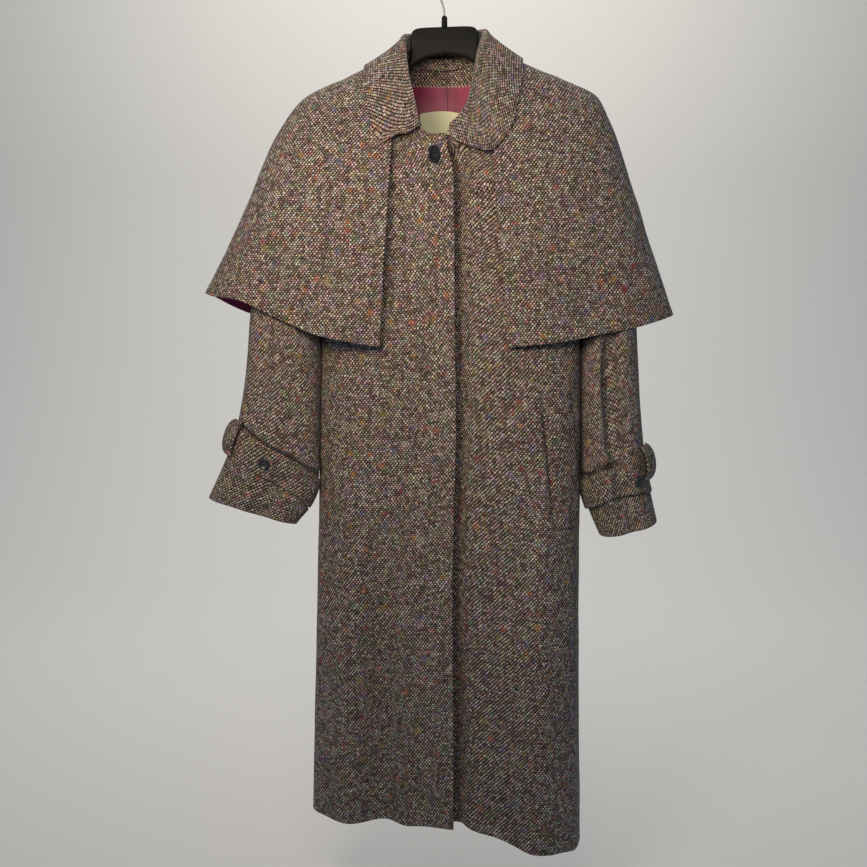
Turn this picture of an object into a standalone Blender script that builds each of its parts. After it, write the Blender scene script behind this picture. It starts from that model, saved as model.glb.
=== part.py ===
"""Full-length tweed coat with a shoulder cape, hanging on a plastic hanger.

Metres, +Z up, the front faces -Y, and the origin is where the hanger's hook bears on its rail.
Right and left are the wearer's, so the right side is at -X.
Each cloth piece is a wall on one of a few surfaces: body, cape, sleeves and collar.
A surface is worked out from a short table of sections, in millimetres.
"""

from collections import namedtuple

import bpy
import numpy as np

MM = 0.001

# Driving sizes, in mm
CLOTH_WALL = 2.5
LINING_WALL = 1.0
LABEL_WALL = 1.0
NECK_LAYER_GAP = 1.0
STRAP_WALL = 3.0
WELT_WALL = 2.5
WELT_GAP = 0.5
SEAM_GAP = 0.3
OVERLAP = 65.0
UNDER_FRONT_INSET = 6.0
UNDER_FRONT_EASE = (4.0, 80.0)
FACING_DEPTH = 44.0
LINING_END = 1141.0
COLLAR_WALL = 2.5
STRAP_WIDTH = 40.0
STRAP_TIP_SHARE = 0.62
STRAP_TIP_ANGLE = 16.0
NECK_BUTTON_RADIUS = 12.6
CUFF_BUTTON_RADIUS = 9.2
BUTTON_THICKNESS = 4.0
BUTTON_SHANK = 1.0
NECK_BUTTON_DOWN = 60.0
NECK_BUTTON_INSET = 18.0
NECK_BUTTON_TURN = 42.0
HANGER_THICKNESS = 10.0
HANGER_EDGE_RADIUS = 2.0
HOOK_WIRE_RADIUS = 1.6
HOOK_RADIUS = 22.0
BOSS_RADIUS = 4.5
BOSS_HEIGHT = 17.0
# The hook's shank as x and the height above the boss, then the turn of its round part, in degrees.
HOOK_SHANK = [(0.0, SEAM_GAP), (-0.5, 6.0), (-3.5, 18.6), (-10.0, 30.6)]
HOOK_TURN = (210, -25)

# Body sections from the neck seam to the hem. "down" is the way along the cloth.
# The z columns are the section's height at the right side, left side, front and back.
# right, left, front and back are its half sizes, and twist turns it about Z, in degrees.
BodyRow = namedtuple(
    "BodyRow",
    "down right_z left_z front_z back_z right left front back square twist mid_x mid_y",
)
BODY = [
    BodyRow(0, -131, -123, -264, -129, 62, 64, 76, 66, 2.0, 2, 0, -10),
    BodyRow(50, -162, -155, -290, -168, 110, 112, 80, 78, 2.1, 2, 0, -8),
    BodyRow(100, -184, -178, -315, -207, 155, 158, 82, 84, 2.3, 2, 0, -6),
    BodyRow(135, -207, -201, -337, -242, 186, 191, 84, 86, 2.5, 3, 1, -5),
    BodyRow(180, -252, -247, -362, -279, 195, 202, 85, 86, 2.6, 3, 2, -4),
    BodyRow(240, -320, -315, -392, -332, 197, 205, 86, 86, 2.7, 4, 3, -3),
    BodyRow(330, -420, -418, -440, -422, 196, 205, 87, 84, 2.8, 4, 4, -3),
    BodyRow(460, -560, -560, -562, -560, 197, 208, 88, 80, 3.0, 6, 4, -4),
    BodyRow(600, -700, -700, -702, -700, 200, 210, 86, 76, 3.1, 8, 4, -6),
    BodyRow(880, -985, -986, -985, -984, 209, 214, 78, 72, 3.3, 12, 2, -12),
    BodyRow(1260, -1354, -1372, -1354, -1356, 220, 225, 64, 70, 3.5, 15, -2, -20),
]

# The front neckline is a U, so the front's height falls away from the sides by this power.
BODY_FRONT_DROP = 4.0

# How far the front's hem is lifted at places across it, as its folds draw it up.
HemRow = namedtuple("HemRow", "x lift")
HEM = [
    HemRow(-225, 4),
    HemRow(-190, 2),
    HemRow(-130, 0),
    HemRow(-40, 3),
    HemRow(10, 9),
    HemRow(45, 14),
    HemRow(80, 6),
    HemRow(120, -3),
    HemRow(160, -7),
    HemRow(195, -3),
    HemRow(225, 6),
]
HEM_LIFT_START = 1000.0
BODY_LENGTH = 1260.0

FRONT_RIGHT_COLUMNS = 12
FRONT_LEFT_COLUMNS = 15
BACK_COLUMNS = 17

# Each front and the back is cut whole. Here it is three solids, one above the other.
BAND_NAMES = ("chest", "hip", "skirt")
BAND_SPLITS = (420.0, 780.0)

# Long soft folds of the body. "across" runs from -1 at the right side to 1 at the left.
# Depth is how far the fold goes in at the hem; a crest has a negative depth.
BodyFold = namedtuple("BodyFold", "face across width depth start full")
BODY_FOLDS = [
    BodyFold("front", -0.40, 0.15, 27, 430, 1150),
    BodyFold("front", -0.66, 0.14, -10, 600, 1200),
    BodyFold("front", -0.10, 0.13, 9, 700, 1200),
    BodyFold("front", 0.46, 0.14, 8, 600, 1200),
    BodyFold("front", 0.80, 0.17, -27, 500, 1200),
    BodyFold("back", -0.45, 0.18, 14, 520, 1200),
    BodyFold("back", 0.10, 0.20, -8, 600, 1200),
    BodyFold("back", 0.55, 0.18, 12, 560, 1200),
]

ARMHOLE_TOP = 135.0
ARMHOLE_FOOT = 330.0
ARMHOLE_FRONT = np.radians(34)
ARMHOLE_BACK = np.radians(34)
SLEEVE_HEAD_INSET = 6.0

# The over front's edge, as x at four places down the body.
FRONT_EDGE_DOWN = [0, 330, 880, 1260]
FRONT_EDGE_X = [3.0, 8.0, 15.0, 17.5]

# Cape sections, from under the collar to the hem.
CapeRow = namedtuple("CapeRow", "down right_z left_z front_z back_z right left front back square")
CAPE = [
    CapeRow(0, -124, -114, -258, -124, 68, 70, 86, 72, 2.0),
    CapeRow(65, -160, -150, -300, -170, 127, 125, 93, 90, 2.1),
    CapeRow(120, -182, -172, -334, -214, 177, 178, 98, 98, 2.2),
    CapeRow(170, -207, -196, -366, -262, 222, 231, 103, 105, 2.2),
    CapeRow(215, -242, -236, -393, -306, 249, 256, 107, 111, 2.2),
    CapeRow(270, -288, -296, -428, -356, 274, 278, 111, 117, 2.2),
    CapeRow(395, -408, -428, -502, -464, 327, 323, 119, 127, 2.2),
    CapeRow(495, -498, -531, -580, -570, 374, 360, 125, 134, 2.2),
]
CAPE_SHIFT_Y = -8.0
CAPE_TOP = 20.0
CAPE_LENGTH = 495.0
# Towards the hem the back of the right side hangs lower than its front, by this power.
CAPE_RIGHT_BACK_DROP = 3.6
CAPE_BACK_DROP_START = 270.0
CAPE_EDGE_DOWN = [0, CAPE_LENGTH]
CAPE_RIGHT_EDGE_X = [-75.0, -99.0]
CAPE_LEFT_EDGE_X = [66.0, 94.0]
CapeFold = namedtuple("CapeFold", "angle width depth start full")
CAPE_FOLDS = [
    CapeFold(128, 9, 12, 150, 480),
    CapeFold(150, 9, -7, 200, 480),
    CapeFold(52, 9, 8, 200, 480),
    CapeFold(222, 12, 12, 200, 480),
    CapeFold(262, 12, -8, 200, 480),
    CapeFold(310, 12, 11, 200, 480),
]

# Sleeve sections below the armhole. Each has an outer point, an inner point and its depths.
SleeveRow = namedtuple("SleeveRow", "down outer_x outer_z inner_x inner_z mid_y front back square")
SLEEVE_RIGHT = [
    SleeveRow(22, -209, -213, -203, -426, 0, 50, 56, 2.1),
    SleeveRow(70, -232, -252, -206, -437, 0, 48, 58, 2.2),
    SleeveRow(140, -256, -315, -207, -456, -1, 48, 60, 2.3),
    SleeveRow(215, -276, -385, -203, -490, -4, 50, 60, 2.3),
    SleeveRow(360, -302, -527, -195.5, -563, -16, 54, 62, 2.3),
    SleeveRow(465, -313, -635, -196.5, -640, -18, 50, 58, 2.3),
    SleeveRow(545, -327, -707, -199, -722, -18, 44, 52, 2.4),
    SleeveRow(610, -350, -768, -205, -792, -18, 38, 44, 2.5),
    SleeveRow(675, -374, -820, -236, -862, -18, 33, 38, 2.6),
]
SLEEVE_LEFT = [
    SleeveRow(22, 215, -204, 214, -428, -4, 48, 56, 2.1),
    SleeveRow(70, 238, -244, 217, -438, -4, 46, 58, 2.2),
    SleeveRow(140, 256, -308, 218, -456, -6, 46, 60, 2.3),
    SleeveRow(215, 272, -380, 217, -490, -11, 49, 60, 2.3),
    SleeveRow(360, 296, -530, 212.5, -560, -28, 58, 62, 2.3),
    SleeveRow(490, 305, -667, 214.5, -680, -34, 56, 58, 2.3),
    SleeveRow(600, 317, -780, 222, -788, -38, 55, 56, 2.3),
    SleeveRow(640, 325, -815, 231, -832, -39, 54, 55, 2.3),
    SleeveRow(682, 334, -852, 246, -876, -40, 52, 53, 2.3),
]
SleeveFold = namedtuple("SleeveFold", "angle width depth start full end")
SLEEVE_RIGHT_FOLDS = [
    SleeveFold(70, 16, 7, 250, 420, 560),
    SleeveFold(105, 14, 9, 560, 640, 720),
    SleeveFold(250, 18, 8, 250, 420, 700),
]
SLEEVE_LEFT_FOLDS = [
    SleeveFold(92, 15, 17, 230, 420, 640),
    SleeveFold(250, 18, 8, 250, 420, 700),
]

# Collar stations from its right front end round the back to its left front end: the fold line,
# the outer edge of the fall as an angle and a way down on the cape that it lies on, and how far
# the fall sags below the cape's line where nothing holds it up.
CollarRow = namedtuple("CollarRow", "along fold_x fold_y fold_z edge_angle edge_down sag")
COLLAR = [
    CollarRow(0.00, -37.5, -87, -254, 122, 97, 20),
    CollarRow(0.05, -40, -83, -238, 124, 102, 15),
    CollarRow(0.11, -46, -72, -206, 127, 100, 5),
    CollarRow(0.17, -53, -57, -173, 133, 95, 1),
    CollarRow(0.24, -57, -32, -135, 147, 80, 0),
    CollarRow(0.32, -57, 2, -108, 178, 58, 0),
    CollarRow(0.40, -44, 38, -96, 222, 60, 0),
    CollarRow(0.50, 1, 57, -92, 270, 62, 0),
    CollarRow(0.60, 44, 38, -92, 318, 60, 0),
    CollarRow(0.68, 58, 2, -100, 362, 57, 0),
    CollarRow(0.76, 50, -34, -130, 396, 76, 0),
    CollarRow(0.83, 42, -61, -172, 415, 95, 0),
    CollarRow(0.89, 34, -79, -214, 424, 95, 0),
    CollarRow(0.95, 22, -92, -240, 432, 66, 0),
    CollarRow(1.00, 7, -95, -258, 446, 14, 0),
]
COLLAR_REST = 3.0
COLLAR_ROLL = 7.5
COLLAR_ROLL_AT = (0.12, 0.14)
COLLAR_SETTLE = (-0.06, 0.5)
COLLAR_SAG_AT = (0.35, 0.3)
COLLAR_FALL_STEPS = (0.10, 0.24, 0.42, 0.62, 0.82, 1.0)
COLLAR_SEAM_LIFT = 4.5
COLLAR_SEAM_INSET = 1.0

# Cuff straps and their loops, placed on a sleeve by angle (0 outer, 90 front, 180 inner) and way down.
StrapRow = namedtuple("StrapRow", "angle down lift")
STRAP_RIGHT = [
    StrapRow(6, 558, 2.0),
    StrapRow(30, 562, 2.0),
    StrapRow(60, 577, 2.5),
    StrapRow(100, 600, 3.0),
    StrapRow(140, 617, 2.5),
    StrapRow(180, 629, 1.5),
    StrapRow(200, 632, 1.5),
]
STRAP_LEFT = [
    StrapRow(28, 610, 2.5),
    StrapRow(60, 602, 2.5),
    StrapRow(100, 603, 3.0),
    StrapRow(140, 614, 3.5),
    StrapRow(176, 620, 3.0),
]
LoopPlace = namedtuple("LoopPlace", "angle half_angle down length lean")
LOOP_RIGHT = LoopPlace(20, 17, 561, 58, 3)
LOOP_LEFT = LoopPlace(13, 13, 580, 54, 0)
LOOP_LIFT = 13.0
LOOP_END_LIFT = 1.2
BUTTON_ALONG_RIGHT = (87, 590)
BUTTON_ALONG_LEFT = (62, 602)

# The left front's slanted welt pocket: the way from the middle of the front to its inner edge, top and foot.
WELT_TOP = 578.0
WELT_FOOT = 752.0
WELT_INNER_TOP = 156.0
WELT_INNER_FOOT = 184.0
WELT_WIDTH = 48.0

# Hanger outline: half width and the top and lower edge there.
HangerRow = namedtuple("HangerRow", "x top foot")
HANGER = [
    HangerRow(0, -93, -131),
    HangerRow(28, -93, -133),
    HangerRow(42, -94, -138),
    HangerRow(49, -98, -142),
    HangerRow(52, -106, -144),
    HangerRow(52.5, -139, -150),
    HangerRow(62, -144, -157),
    HangerRow(110, -169, -182),
    HangerRow(150, -190, -203),
    HangerRow(172, -206, -216),
]
HANGER_TILT = 2.0

LABEL_DOWN = (84.0, 128.0)
LABEL_HALF_WIDTH = 30.0
LABEL_MIDDLE_X = -6.0
LOOP_NECK_DOWN = (7.0, 18.0)
LOOP_NECK_HALF = 32.0

TWEED = (0.125, 0.088, 0.066)
TWEED_DARK = (0.11, 0.078, 0.06)
SATIN = (0.19, 0.035, 0.055)
LABEL_CLOTH = (0.50, 0.52, 0.27)
BLACK_PLASTIC = (0.03, 0.029, 0.026)
BUTTON_HORN = (0.022, 0.018, 0.016)
STEEL = (0.35, 0.35, 0.36)

ANGLE_STEP = 1e-3
DOWN_STEP = 0.1
FINE = 401
FOLD_FADE = 0.6


def clear_scene():
    for item in list(bpy.data.objects):
        bpy.data.objects.remove(item, do_unlink=True)


def material(name, colour, roughness, metallic=0.0):
    made = bpy.data.materials.new(name)
    made.use_nodes = True
    shader = made.node_tree.nodes["Principled BSDF"]
    shader.inputs["Base Color"].default_value = (*colour, 1.0)
    shader.inputs["Roughness"].default_value = roughness
    shader.inputs["Metallic"].default_value = metallic
    return made


def add_object(name, points, faces, paint):
    mesh = bpy.data.meshes.new(name)
    mesh.from_pydata((np.asarray(points) * MM).tolist(), [], faces)
    mesh.update()
    made = bpy.data.objects.new(name, mesh)
    made.data.materials.append(paint)
    bpy.context.scene.collection.objects.link(made)
    return made


def slopes(x, y):
    """Slopes at the table's points for a smooth curve that never overshoots between two rows."""
    step = np.diff(x)
    rise = np.diff(y, axis=0) / step[:, None]
    inner = np.zeros_like(y)
    same = rise[1:] * rise[:-1] > 0
    share = (2 * step[1:] + step[:-1])[:, None]
    other = (step[1:] + 2 * step[:-1])[:, None]
    with np.errstate(divide="ignore", invalid="ignore"):
        mean = (share + other) / (share / rise[:-1] + other / rise[1:])
    inner[1:-1] = np.where(same, mean, 0.0)
    inner[0] = rise[0]
    inner[-1] = rise[-1]
    return inner


def smooth(x, y, at):
    """A smooth curve through the rows of y at x, read at the values in at."""
    x = np.asarray(x, float)
    y = np.asarray(y, float)
    flat = y.reshape(len(x), -1)
    slope = slopes(x, flat)
    at = np.asarray(at, float)
    i = np.clip(np.searchsorted(x, at.ravel(), side="right") - 1, 0, len(x) - 2)
    h = (x[i + 1] - x[i])[:, None]
    u = (at.ravel() - x[i])[:, None] / h
    first = flat[i] * (1 + 2 * u) * (1 - u) ** 2 + flat[i + 1] * u**2 * (3 - 2 * u)
    second = slope[i] * h * u * (1 - u) ** 2 + slope[i + 1] * h * u**2 * (u - 1)
    return (first + second).reshape(at.shape + y.shape[1:])


def ease(value, start, full):
    u = np.clip((value - start) / (full - start), 0.0, 1.0)
    return u * u * (3 - 2 * u)


def hump(value, middle, width):
    return np.exp(-(((value - middle) / width) ** 2))


def power(value, square):
    """One axis of a rounded box: a circle at 2, squarer above it."""
    return np.sign(value) * np.abs(value) ** (2.0 / square)


def columns(table, down):
    """Each column of a table after its first, read at the given ways down."""
    values = np.array([row[1:] for row in table], float)
    read = smooth([row[0] for row in table], values, down)
    return dict(zip(table[0]._fields[1:], np.moveaxis(read, -1, 0)))


def section_height(c, cosine, sine, front_drop=2.0, back_drop=2.0):
    """Height round a section. A larger drop gives a flatter front or back, as a U-shaped neckline has."""
    side = np.where(cosine < 0, c["right_z"], c["left_z"])
    face = np.where(sine > 0, c["front_z"], c["back_z"])
    share = np.abs(cosine) ** np.where(sine > 0, front_drop, back_drop)
    return side * share + face * (1 - share)


def body(angle, down):
    """The body's outer surface. Angle is 0 at the left side, pi/2 at the front, pi at the right side."""
    c = columns(BODY, down)
    cosine = np.cos(angle)
    sine = np.sin(angle)
    across = power(cosine, c["square"])
    x = np.where(cosine < 0, c["right"], c["left"]) * across
    y = -np.where(sine > 0, c["front"], c["back"]) * power(sine, c["square"])
    for fold in BODY_FOLDS:
        face = np.clip(sine if fold.face == "front" else -sine, 0, 1)
        inward = 1 if fold.face == "front" else -1
        y = y + inward * fold.depth * hump(across, fold.across, fold.width) * face**0.5 * ease(
            down, fold.start, fold.full
        )
    turn = np.radians(c["twist"])
    lift = np.interp(x, [row.x for row in HEM], [row.lift for row in HEM]) * np.clip(sine, 0, 1)
    return np.stack(
        [
            c["mid_x"] + x * np.cos(turn) + y * np.sin(turn),
            c["mid_y"] - x * np.sin(turn) + y * np.cos(turn),
            section_height(c, cosine, sine, BODY_FRONT_DROP) + lift * ease(down, HEM_LIFT_START, BODY_LENGTH),
        ],
        axis=-1,
    )


def under_front(angle, down):
    """The body's surface set in where the left front goes under the right one."""
    point = body(angle, down)
    past_edge = point[..., 0] - np.interp(down, FRONT_EDGE_DOWN, FRONT_EDGE_X)
    inset = UNDER_FRONT_INSET * (1 - ease(past_edge, *UNDER_FRONT_EASE))
    return point - normal(body, angle, down) * inset[..., None]


def cape(angle, down):
    """The cape's outer surface, with the body's angles."""
    c = columns(CAPE, down)
    right_drop = 2.0 + (CAPE_RIGHT_BACK_DROP - 2.0) * ease(down, CAPE_BACK_DROP_START, CAPE_LENGTH)
    cosine = np.cos(angle)
    sine = np.sin(angle)
    wave = 0.0
    for fold in CAPE_FOLDS:
        wave = wave - fold.depth * hump(np.degrees(angle), fold.angle, fold.width) * ease(
            down, fold.start, fold.full
        )
    x = np.where(cosine < 0, c["right"], c["left"]) * power(cosine, c["square"])
    y = -np.where(sine > 0, c["front"], c["back"]) * power(sine, c["square"])
    return np.stack(
        [
            x + wave * cosine,
            CAPE_SHIFT_Y + y - wave * sine,
            section_height(c, cosine, sine, back_drop=np.where(cosine < 0, right_drop, 2.0)),
        ],
        axis=-1,
    )


def armhole(angle, side):
    """A point of the sleeve head, just inside the armhole. Angle is 0 at the shoulder, pi/2 in front."""
    middle = (ARMHOLE_TOP + ARMHOLE_FOOT) / 2
    reach = (ARMHOLE_FOOT - ARMHOLE_TOP) / 2 - SLEEVE_HEAD_INSET
    share = reach / (reach + SLEEVE_HEAD_INSET)
    width = np.where(np.sin(angle) > 0, ARMHOLE_FRONT, ARMHOLE_BACK) * share
    at_side = np.pi if side == "right" else 0.0
    turn = -1 if side == "right" else 1
    return body(at_side + turn * width * np.sin(angle), middle - reach * np.cos(angle))


def sleeve_surface(table, folds, side):
    """The surface of one sleeve, over angle and the way down."""
    downs = [0.0] + [row.down for row in table]
    lean = -1 if side == "right" else 1

    def section(row, angle):
        across = (power(np.cos(angle), row.square) + 1) / 2
        depth = np.where(np.sin(angle) > 0, row.front, row.back)
        return np.stack(
            [
                row.inner_x + (row.outer_x - row.inner_x) * across,
                row.mid_y - depth * power(np.sin(angle), row.square),
                row.inner_z + (row.outer_z - row.inner_z) * across,
            ],
            axis=-1,
        )

    def surface(angle, down):
        rings = np.stack([armhole(angle, side)] + [section(row, angle) for row in table])
        flat_rings = rings.reshape(len(downs), -1, 3)
        flat_down = np.ravel(down)
        point = np.empty((flat_down.size, 3))
        for value in np.unique(flat_down):
            at = flat_down == value
            point[at] = smooth(downs, flat_rings[:, at], np.array([value]))[0]
        point = point.reshape(np.shape(angle) + (3,))
        for fold in folds:
            grow = ease(down, fold.start, fold.full) * (1 - FOLD_FADE * ease(down, fold.full, fold.end))
            push = fold.depth * hump(np.degrees(angle) % 360, fold.angle, fold.width) * grow
            point[..., 0] -= push * np.cos(angle) * lean
            point[..., 1] += push * np.sin(angle)
        return point

    return surface


def normal(surface, angle, down):
    """Unit normals of a surface, pointing out of the cloth."""
    along = surface(angle + ANGLE_STEP, down) - surface(angle - ANGLE_STEP, down)
    downs = surface(angle, down + DOWN_STEP) - surface(angle, down - DOWN_STEP)
    cross = np.cross(along, downs)
    return cross / np.linalg.norm(cross, axis=-1, keepdims=True)


def sleeve_normal(surface, side):
    """Unit normals of a sleeve. A right sleeve's angle runs the other way round."""
    turn = -1 if side == "right" else 1

    def unit(angle, down):
        return turn * normal(surface, angle, down)

    return unit


def wall_mesh(name, outer, inner, paint, ring=False):
    """A closed wall between two grids of points, which joins up across its columns if ring is set."""
    rows, cols = outer.shape[:2]
    points = np.concatenate([outer.reshape(-1, 3), inner.reshape(-1, 3)])
    back = rows * cols
    last = cols if ring else cols - 1

    def at(i, j):
        return i * cols + j % cols

    faces = []
    for i in range(rows - 1):
        for j in range(last):
            quad = [at(i, j), at(i + 1, j), at(i + 1, j + 1), at(i, j + 1)]
            for corners in (quad[:3], [quad[0], quad[2], quad[3]]):
                faces.append(corners)
                faces.append([back + k for k in reversed(corners)])
    for j in range(last):
        faces.append([at(0, j), at(0, j + 1), back + at(0, j + 1), back + at(0, j)])
        low = rows - 1
        faces.append([at(low, j + 1), at(low, j), back + at(low, j), back + at(low, j + 1)])
    if not ring:
        for i in range(rows - 1):
            faces.append([at(i + 1, 0), at(i, 0), back + at(i, 0), back + at(i + 1, 0)])
            right = cols - 1
            faces.append([at(i, right), at(i + 1, right), back + at(i + 1, right), back + at(i, right)])
    made = add_object(name, points, faces, paint)
    face_outward(made)
    return made


def face_outward(made):
    """Turns every face if the closed mesh is inside out."""
    mesh = made.data
    mesh.calc_loop_triangles()
    corners = np.array([[mesh.vertices[k].co for k in t.vertices] for t in mesh.loop_triangles])
    if np.linalg.det(corners).sum() < 0:
        mesh.flip_normals()


def arc_angles(surface, down, first, last, count, trim=SEAM_GAP / 2):
    """Angles that divide a row of a surface evenly by length, trimmed at both ends for the seams."""
    fine = np.linspace(first, last, FINE)
    point = surface(fine, np.full_like(fine, down))
    length = np.concatenate([[0.0], np.cumsum(np.linalg.norm(np.diff(point, axis=0), axis=1))])
    return np.interp(np.linspace(trim, length[-1] - trim, count), length, fine)


def panel_grid(surface, downs, first, last, count):
    """Angle and down grids for a panel whose two edges are functions of the way down."""
    angles = np.array([arc_angles(surface, d, first(d), last(d), count) for d in downs])
    return angles, np.repeat(np.asarray(downs, float)[:, None], count, axis=1)


def panel(name, surface, downs, first, last, count, paint, depth=0.0, wall=CLOTH_WALL):
    """A cloth panel on a surface, with its outside at a depth below it."""
    angles, down = panel_grid(surface, downs, first, last, count)
    point = surface(angles, down)
    unit = normal(surface, angles, down)
    return wall_mesh(name, point - unit * depth, point - unit * (depth + wall), paint)


def angle_at_x(surface, down, x):
    """The angle on the front of a surface where its x has this value."""
    fine = np.linspace(np.radians(25), np.radians(155), FINE)
    along = surface(fine, np.full_like(fine, down))[:, 0]
    return np.interp(-x, -along, fine)


def front_edge_angle(down, shift=0.0):
    return angle_at_x(body, down, np.interp(down, FRONT_EDGE_DOWN, FRONT_EDGE_X) + shift)


def armhole_width(down, widest):
    middle = (ARMHOLE_TOP + ARMHOLE_FOOT) / 2
    reach = (ARMHOLE_FOOT - ARMHOLE_TOP) / 2
    return widest * np.sqrt(max(0.0, 1 - ((down - middle) / reach) ** 2))


def front_right_side(down):
    return np.pi - armhole_width(down, ARMHOLE_FRONT)


def front_left_side(down):
    return armhole_width(down, ARMHOLE_FRONT)


def front_under_edge(down):
    return front_edge_angle(down, -OVERLAP)


def back_right_edge(down):
    return np.pi + armhole_width(down, ARMHOLE_BACK)


def back_left_edge(down):
    return 2 * np.pi - armhole_width(down, ARMHOLE_BACK)


def body_downs():
    upper = [0, FACING_DEPTH / 2, FACING_DEPTH, 72, 100, ARMHOLE_TOP]
    middle = (ARMHOLE_TOP + ARMHOLE_FOOT) / 2
    reach = (ARMHOLE_FOOT - ARMHOLE_TOP) / 2
    around = [middle - reach * np.cos(np.pi * k / 8) for k in range(1, 8)]
    return upper + around + [ARMHOLE_FOOT] + list(np.linspace(420, BODY_LENGTH, 8))


def body_bands():
    """The name and the ways down of each band of the body, with a seam's gap between two bands."""
    half = SEAM_GAP / 2
    tops = (-half,) + BAND_SPLITS
    feet = BAND_SPLITS + (BODY_LENGTH + half,)
    for name, top, foot in zip(BAND_NAMES, tops, feet):
        between = [d for d in body_downs() if top + half < d < foot - half]
        yield name, [top + half] + between + [foot - half]


def make_body(tweed):
    panels = [
        ("front_right", body, front_edge_angle, front_right_side, FRONT_RIGHT_COLUMNS),
        ("front_left", under_front, front_left_side, front_under_edge, FRONT_LEFT_COLUMNS),
        ("back", body, back_right_edge, back_left_edge, BACK_COLUMNS),
    ]
    for name, surface, first, last, count in panels:
        for band, downs in body_bands():
            panel(f"{name}_{band}", surface, downs, first, last, count, tweed)


def make_neck_inside(tweed, satin, label_cloth):
    """Back neck facing, back lining, bare label and hanging loop, all made from the back's points."""
    inside = CLOTH_WALL + SEAM_GAP
    panel(
        "neck_facing",
        body,
        [d for d in body_downs() if d <= FACING_DEPTH],
        back_right_edge,
        back_left_edge,
        BACK_COLUMNS,
        tweed,
        depth=inside,
        wall=LINING_WALL,
    )
    panel(
        "lining_back",
        body,
        [FACING_DEPTH + SEAM_GAP] + [d for d in body_downs() if FACING_DEPTH < d <= LINING_END],
        back_right_edge,
        back_left_edge,
        BACK_COLUMNS,
        satin,
        depth=inside,
        wall=LINING_WALL,
    )
    layer = inside + LINING_WALL + NECK_LAYER_GAP
    panel(
        "neck_label",
        body,
        np.linspace(*LABEL_DOWN, 4),
        lambda d: back_angle_at_x(d, LABEL_MIDDLE_X - LABEL_HALF_WIDTH),
        lambda d: back_angle_at_x(d, LABEL_MIDDLE_X + LABEL_HALF_WIDTH),
        7,
        label_cloth,
        depth=layer,
        wall=LABEL_WALL,
    )
    panel(
        "hanging_loop",
        body,
        LOOP_NECK_DOWN,
        lambda d: back_angle_at_x(d, -LOOP_NECK_HALF),
        lambda d: back_angle_at_x(d, LOOP_NECK_HALF),
        7,
        tweed,
        depth=layer,
        wall=CLOTH_WALL,
    )


def back_angle_at_x(down, x):
    """The angle on the back of the body where its x has this value."""
    fine = np.linspace(np.radians(200), np.radians(340), FINE)
    along = body(fine, np.full_like(fine, down))[:, 0]
    return np.interp(x, along, fine)


def cape_right_edge(down):
    return angle_at_x(cape, down, np.interp(down, CAPE_EDGE_DOWN, CAPE_RIGHT_EDGE_X))


def cape_left_edge(down):
    return angle_at_x(cape, down, np.interp(down, CAPE_EDGE_DOWN, CAPE_LEFT_EDGE_X))


def make_cape(tweed, satin):
    """The cape's two fronts and back, each with its lining from the same points."""
    downs = [CAPE_TOP, 36, 65, 92, 120, 145, 170, 192, 215, 270, 330, 395, 445, CAPE_LENGTH]
    pieces = [
        ("right", cape_right_edge, lambda d: np.pi, 10),
        ("back", lambda d: np.pi, lambda d: 2 * np.pi, 18),
        ("left", lambda d: 0.0, cape_left_edge, 10),
    ]
    for name, first, last, count in pieces:
        panel(f"cape_{name}", cape, downs, first, last, count, tweed)
        panel(
            f"cape_lining_{name}",
            cape,
            downs,
            first,
            last,
            count,
            satin,
            depth=CLOTH_WALL + SEAM_GAP,
            wall=LINING_WALL,
        )


def make_sleeve(side, table, folds, tweed):
    surface = sleeve_surface(table, folds, side)
    unit = sleeve_normal(surface, side)
    downs = [0, 11, 22, 45, 70, 105, 140, 215, 285, 360, 410, 465, 505, 545, 575, 610, 645]
    downs = np.array(downs + [table[-1].down], float)
    angles = np.linspace(0, 2 * np.pi, 20, endpoint=False)
    angle, down = np.meshgrid(angles, downs)
    point = surface(angle, down)
    wall_mesh(f"sleeve_{side}", point, point - unit(angle, down) * CLOTH_WALL, tweed, ring=True)
    return surface, unit


def strap_row(table, angles):
    values = np.array([[row.down, row.lift] for row in table], float)
    return smooth(np.radians([row.angle for row in table]), values, angles)


def make_strap(side, surface, unit, table, tweed):
    """A cuff strap over the front of the sleeve, from its inner side to a rounded tip at the outer side."""
    angles = np.linspace(np.radians(table[0].angle), np.radians(table[-1].angle), 15)
    middle = strap_row(table, angles)
    tip = np.clip((angles - angles[0]) / np.radians(STRAP_TIP_ANGLE), 0, 1)
    rounding = np.sqrt(1 - (1 - tip) ** 2)
    half = STRAP_WIDTH / 2 * (STRAP_TIP_SHARE + (1 - STRAP_TIP_SHARE) * rounding)
    across = np.linspace(-1, 1, 5)[:, None]
    angle = np.repeat(angles[None, :], 5, axis=0)
    down = middle[None, :, 0] + across * half[None, :]
    lift = np.repeat(middle[None, :, 1], 5, axis=0)[..., None]
    point = surface(angle, down)
    out = unit(angle, down)
    wall_mesh(f"strap_{side}", point + out * (lift + STRAP_WALL), point + out * lift, tweed)


def make_strap_loop(side, surface, unit, place, tweed):
    """The strap's keeper: a short band that stands off the sleeve like an arch."""
    along = np.linspace(-1, 1, 11)[:, None]
    across = np.linspace(-1, 1, 3)[None, :]
    angle = np.radians(place.angle + across * place.half_angle - place.lean * along)
    down = np.broadcast_to(place.down + along * place.length / 2, angle.shape)
    arch = np.broadcast_to(LOOP_END_LIFT + LOOP_LIFT * np.sqrt(1 - along**2), angle.shape)
    point = surface(angle, down)
    out = unit(angle, down)
    wall = arch[..., None] + CLOTH_WALL
    wall_mesh(f"strap_loop_{side}", point + out * wall, point + out * arch[..., None], tweed)


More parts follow.
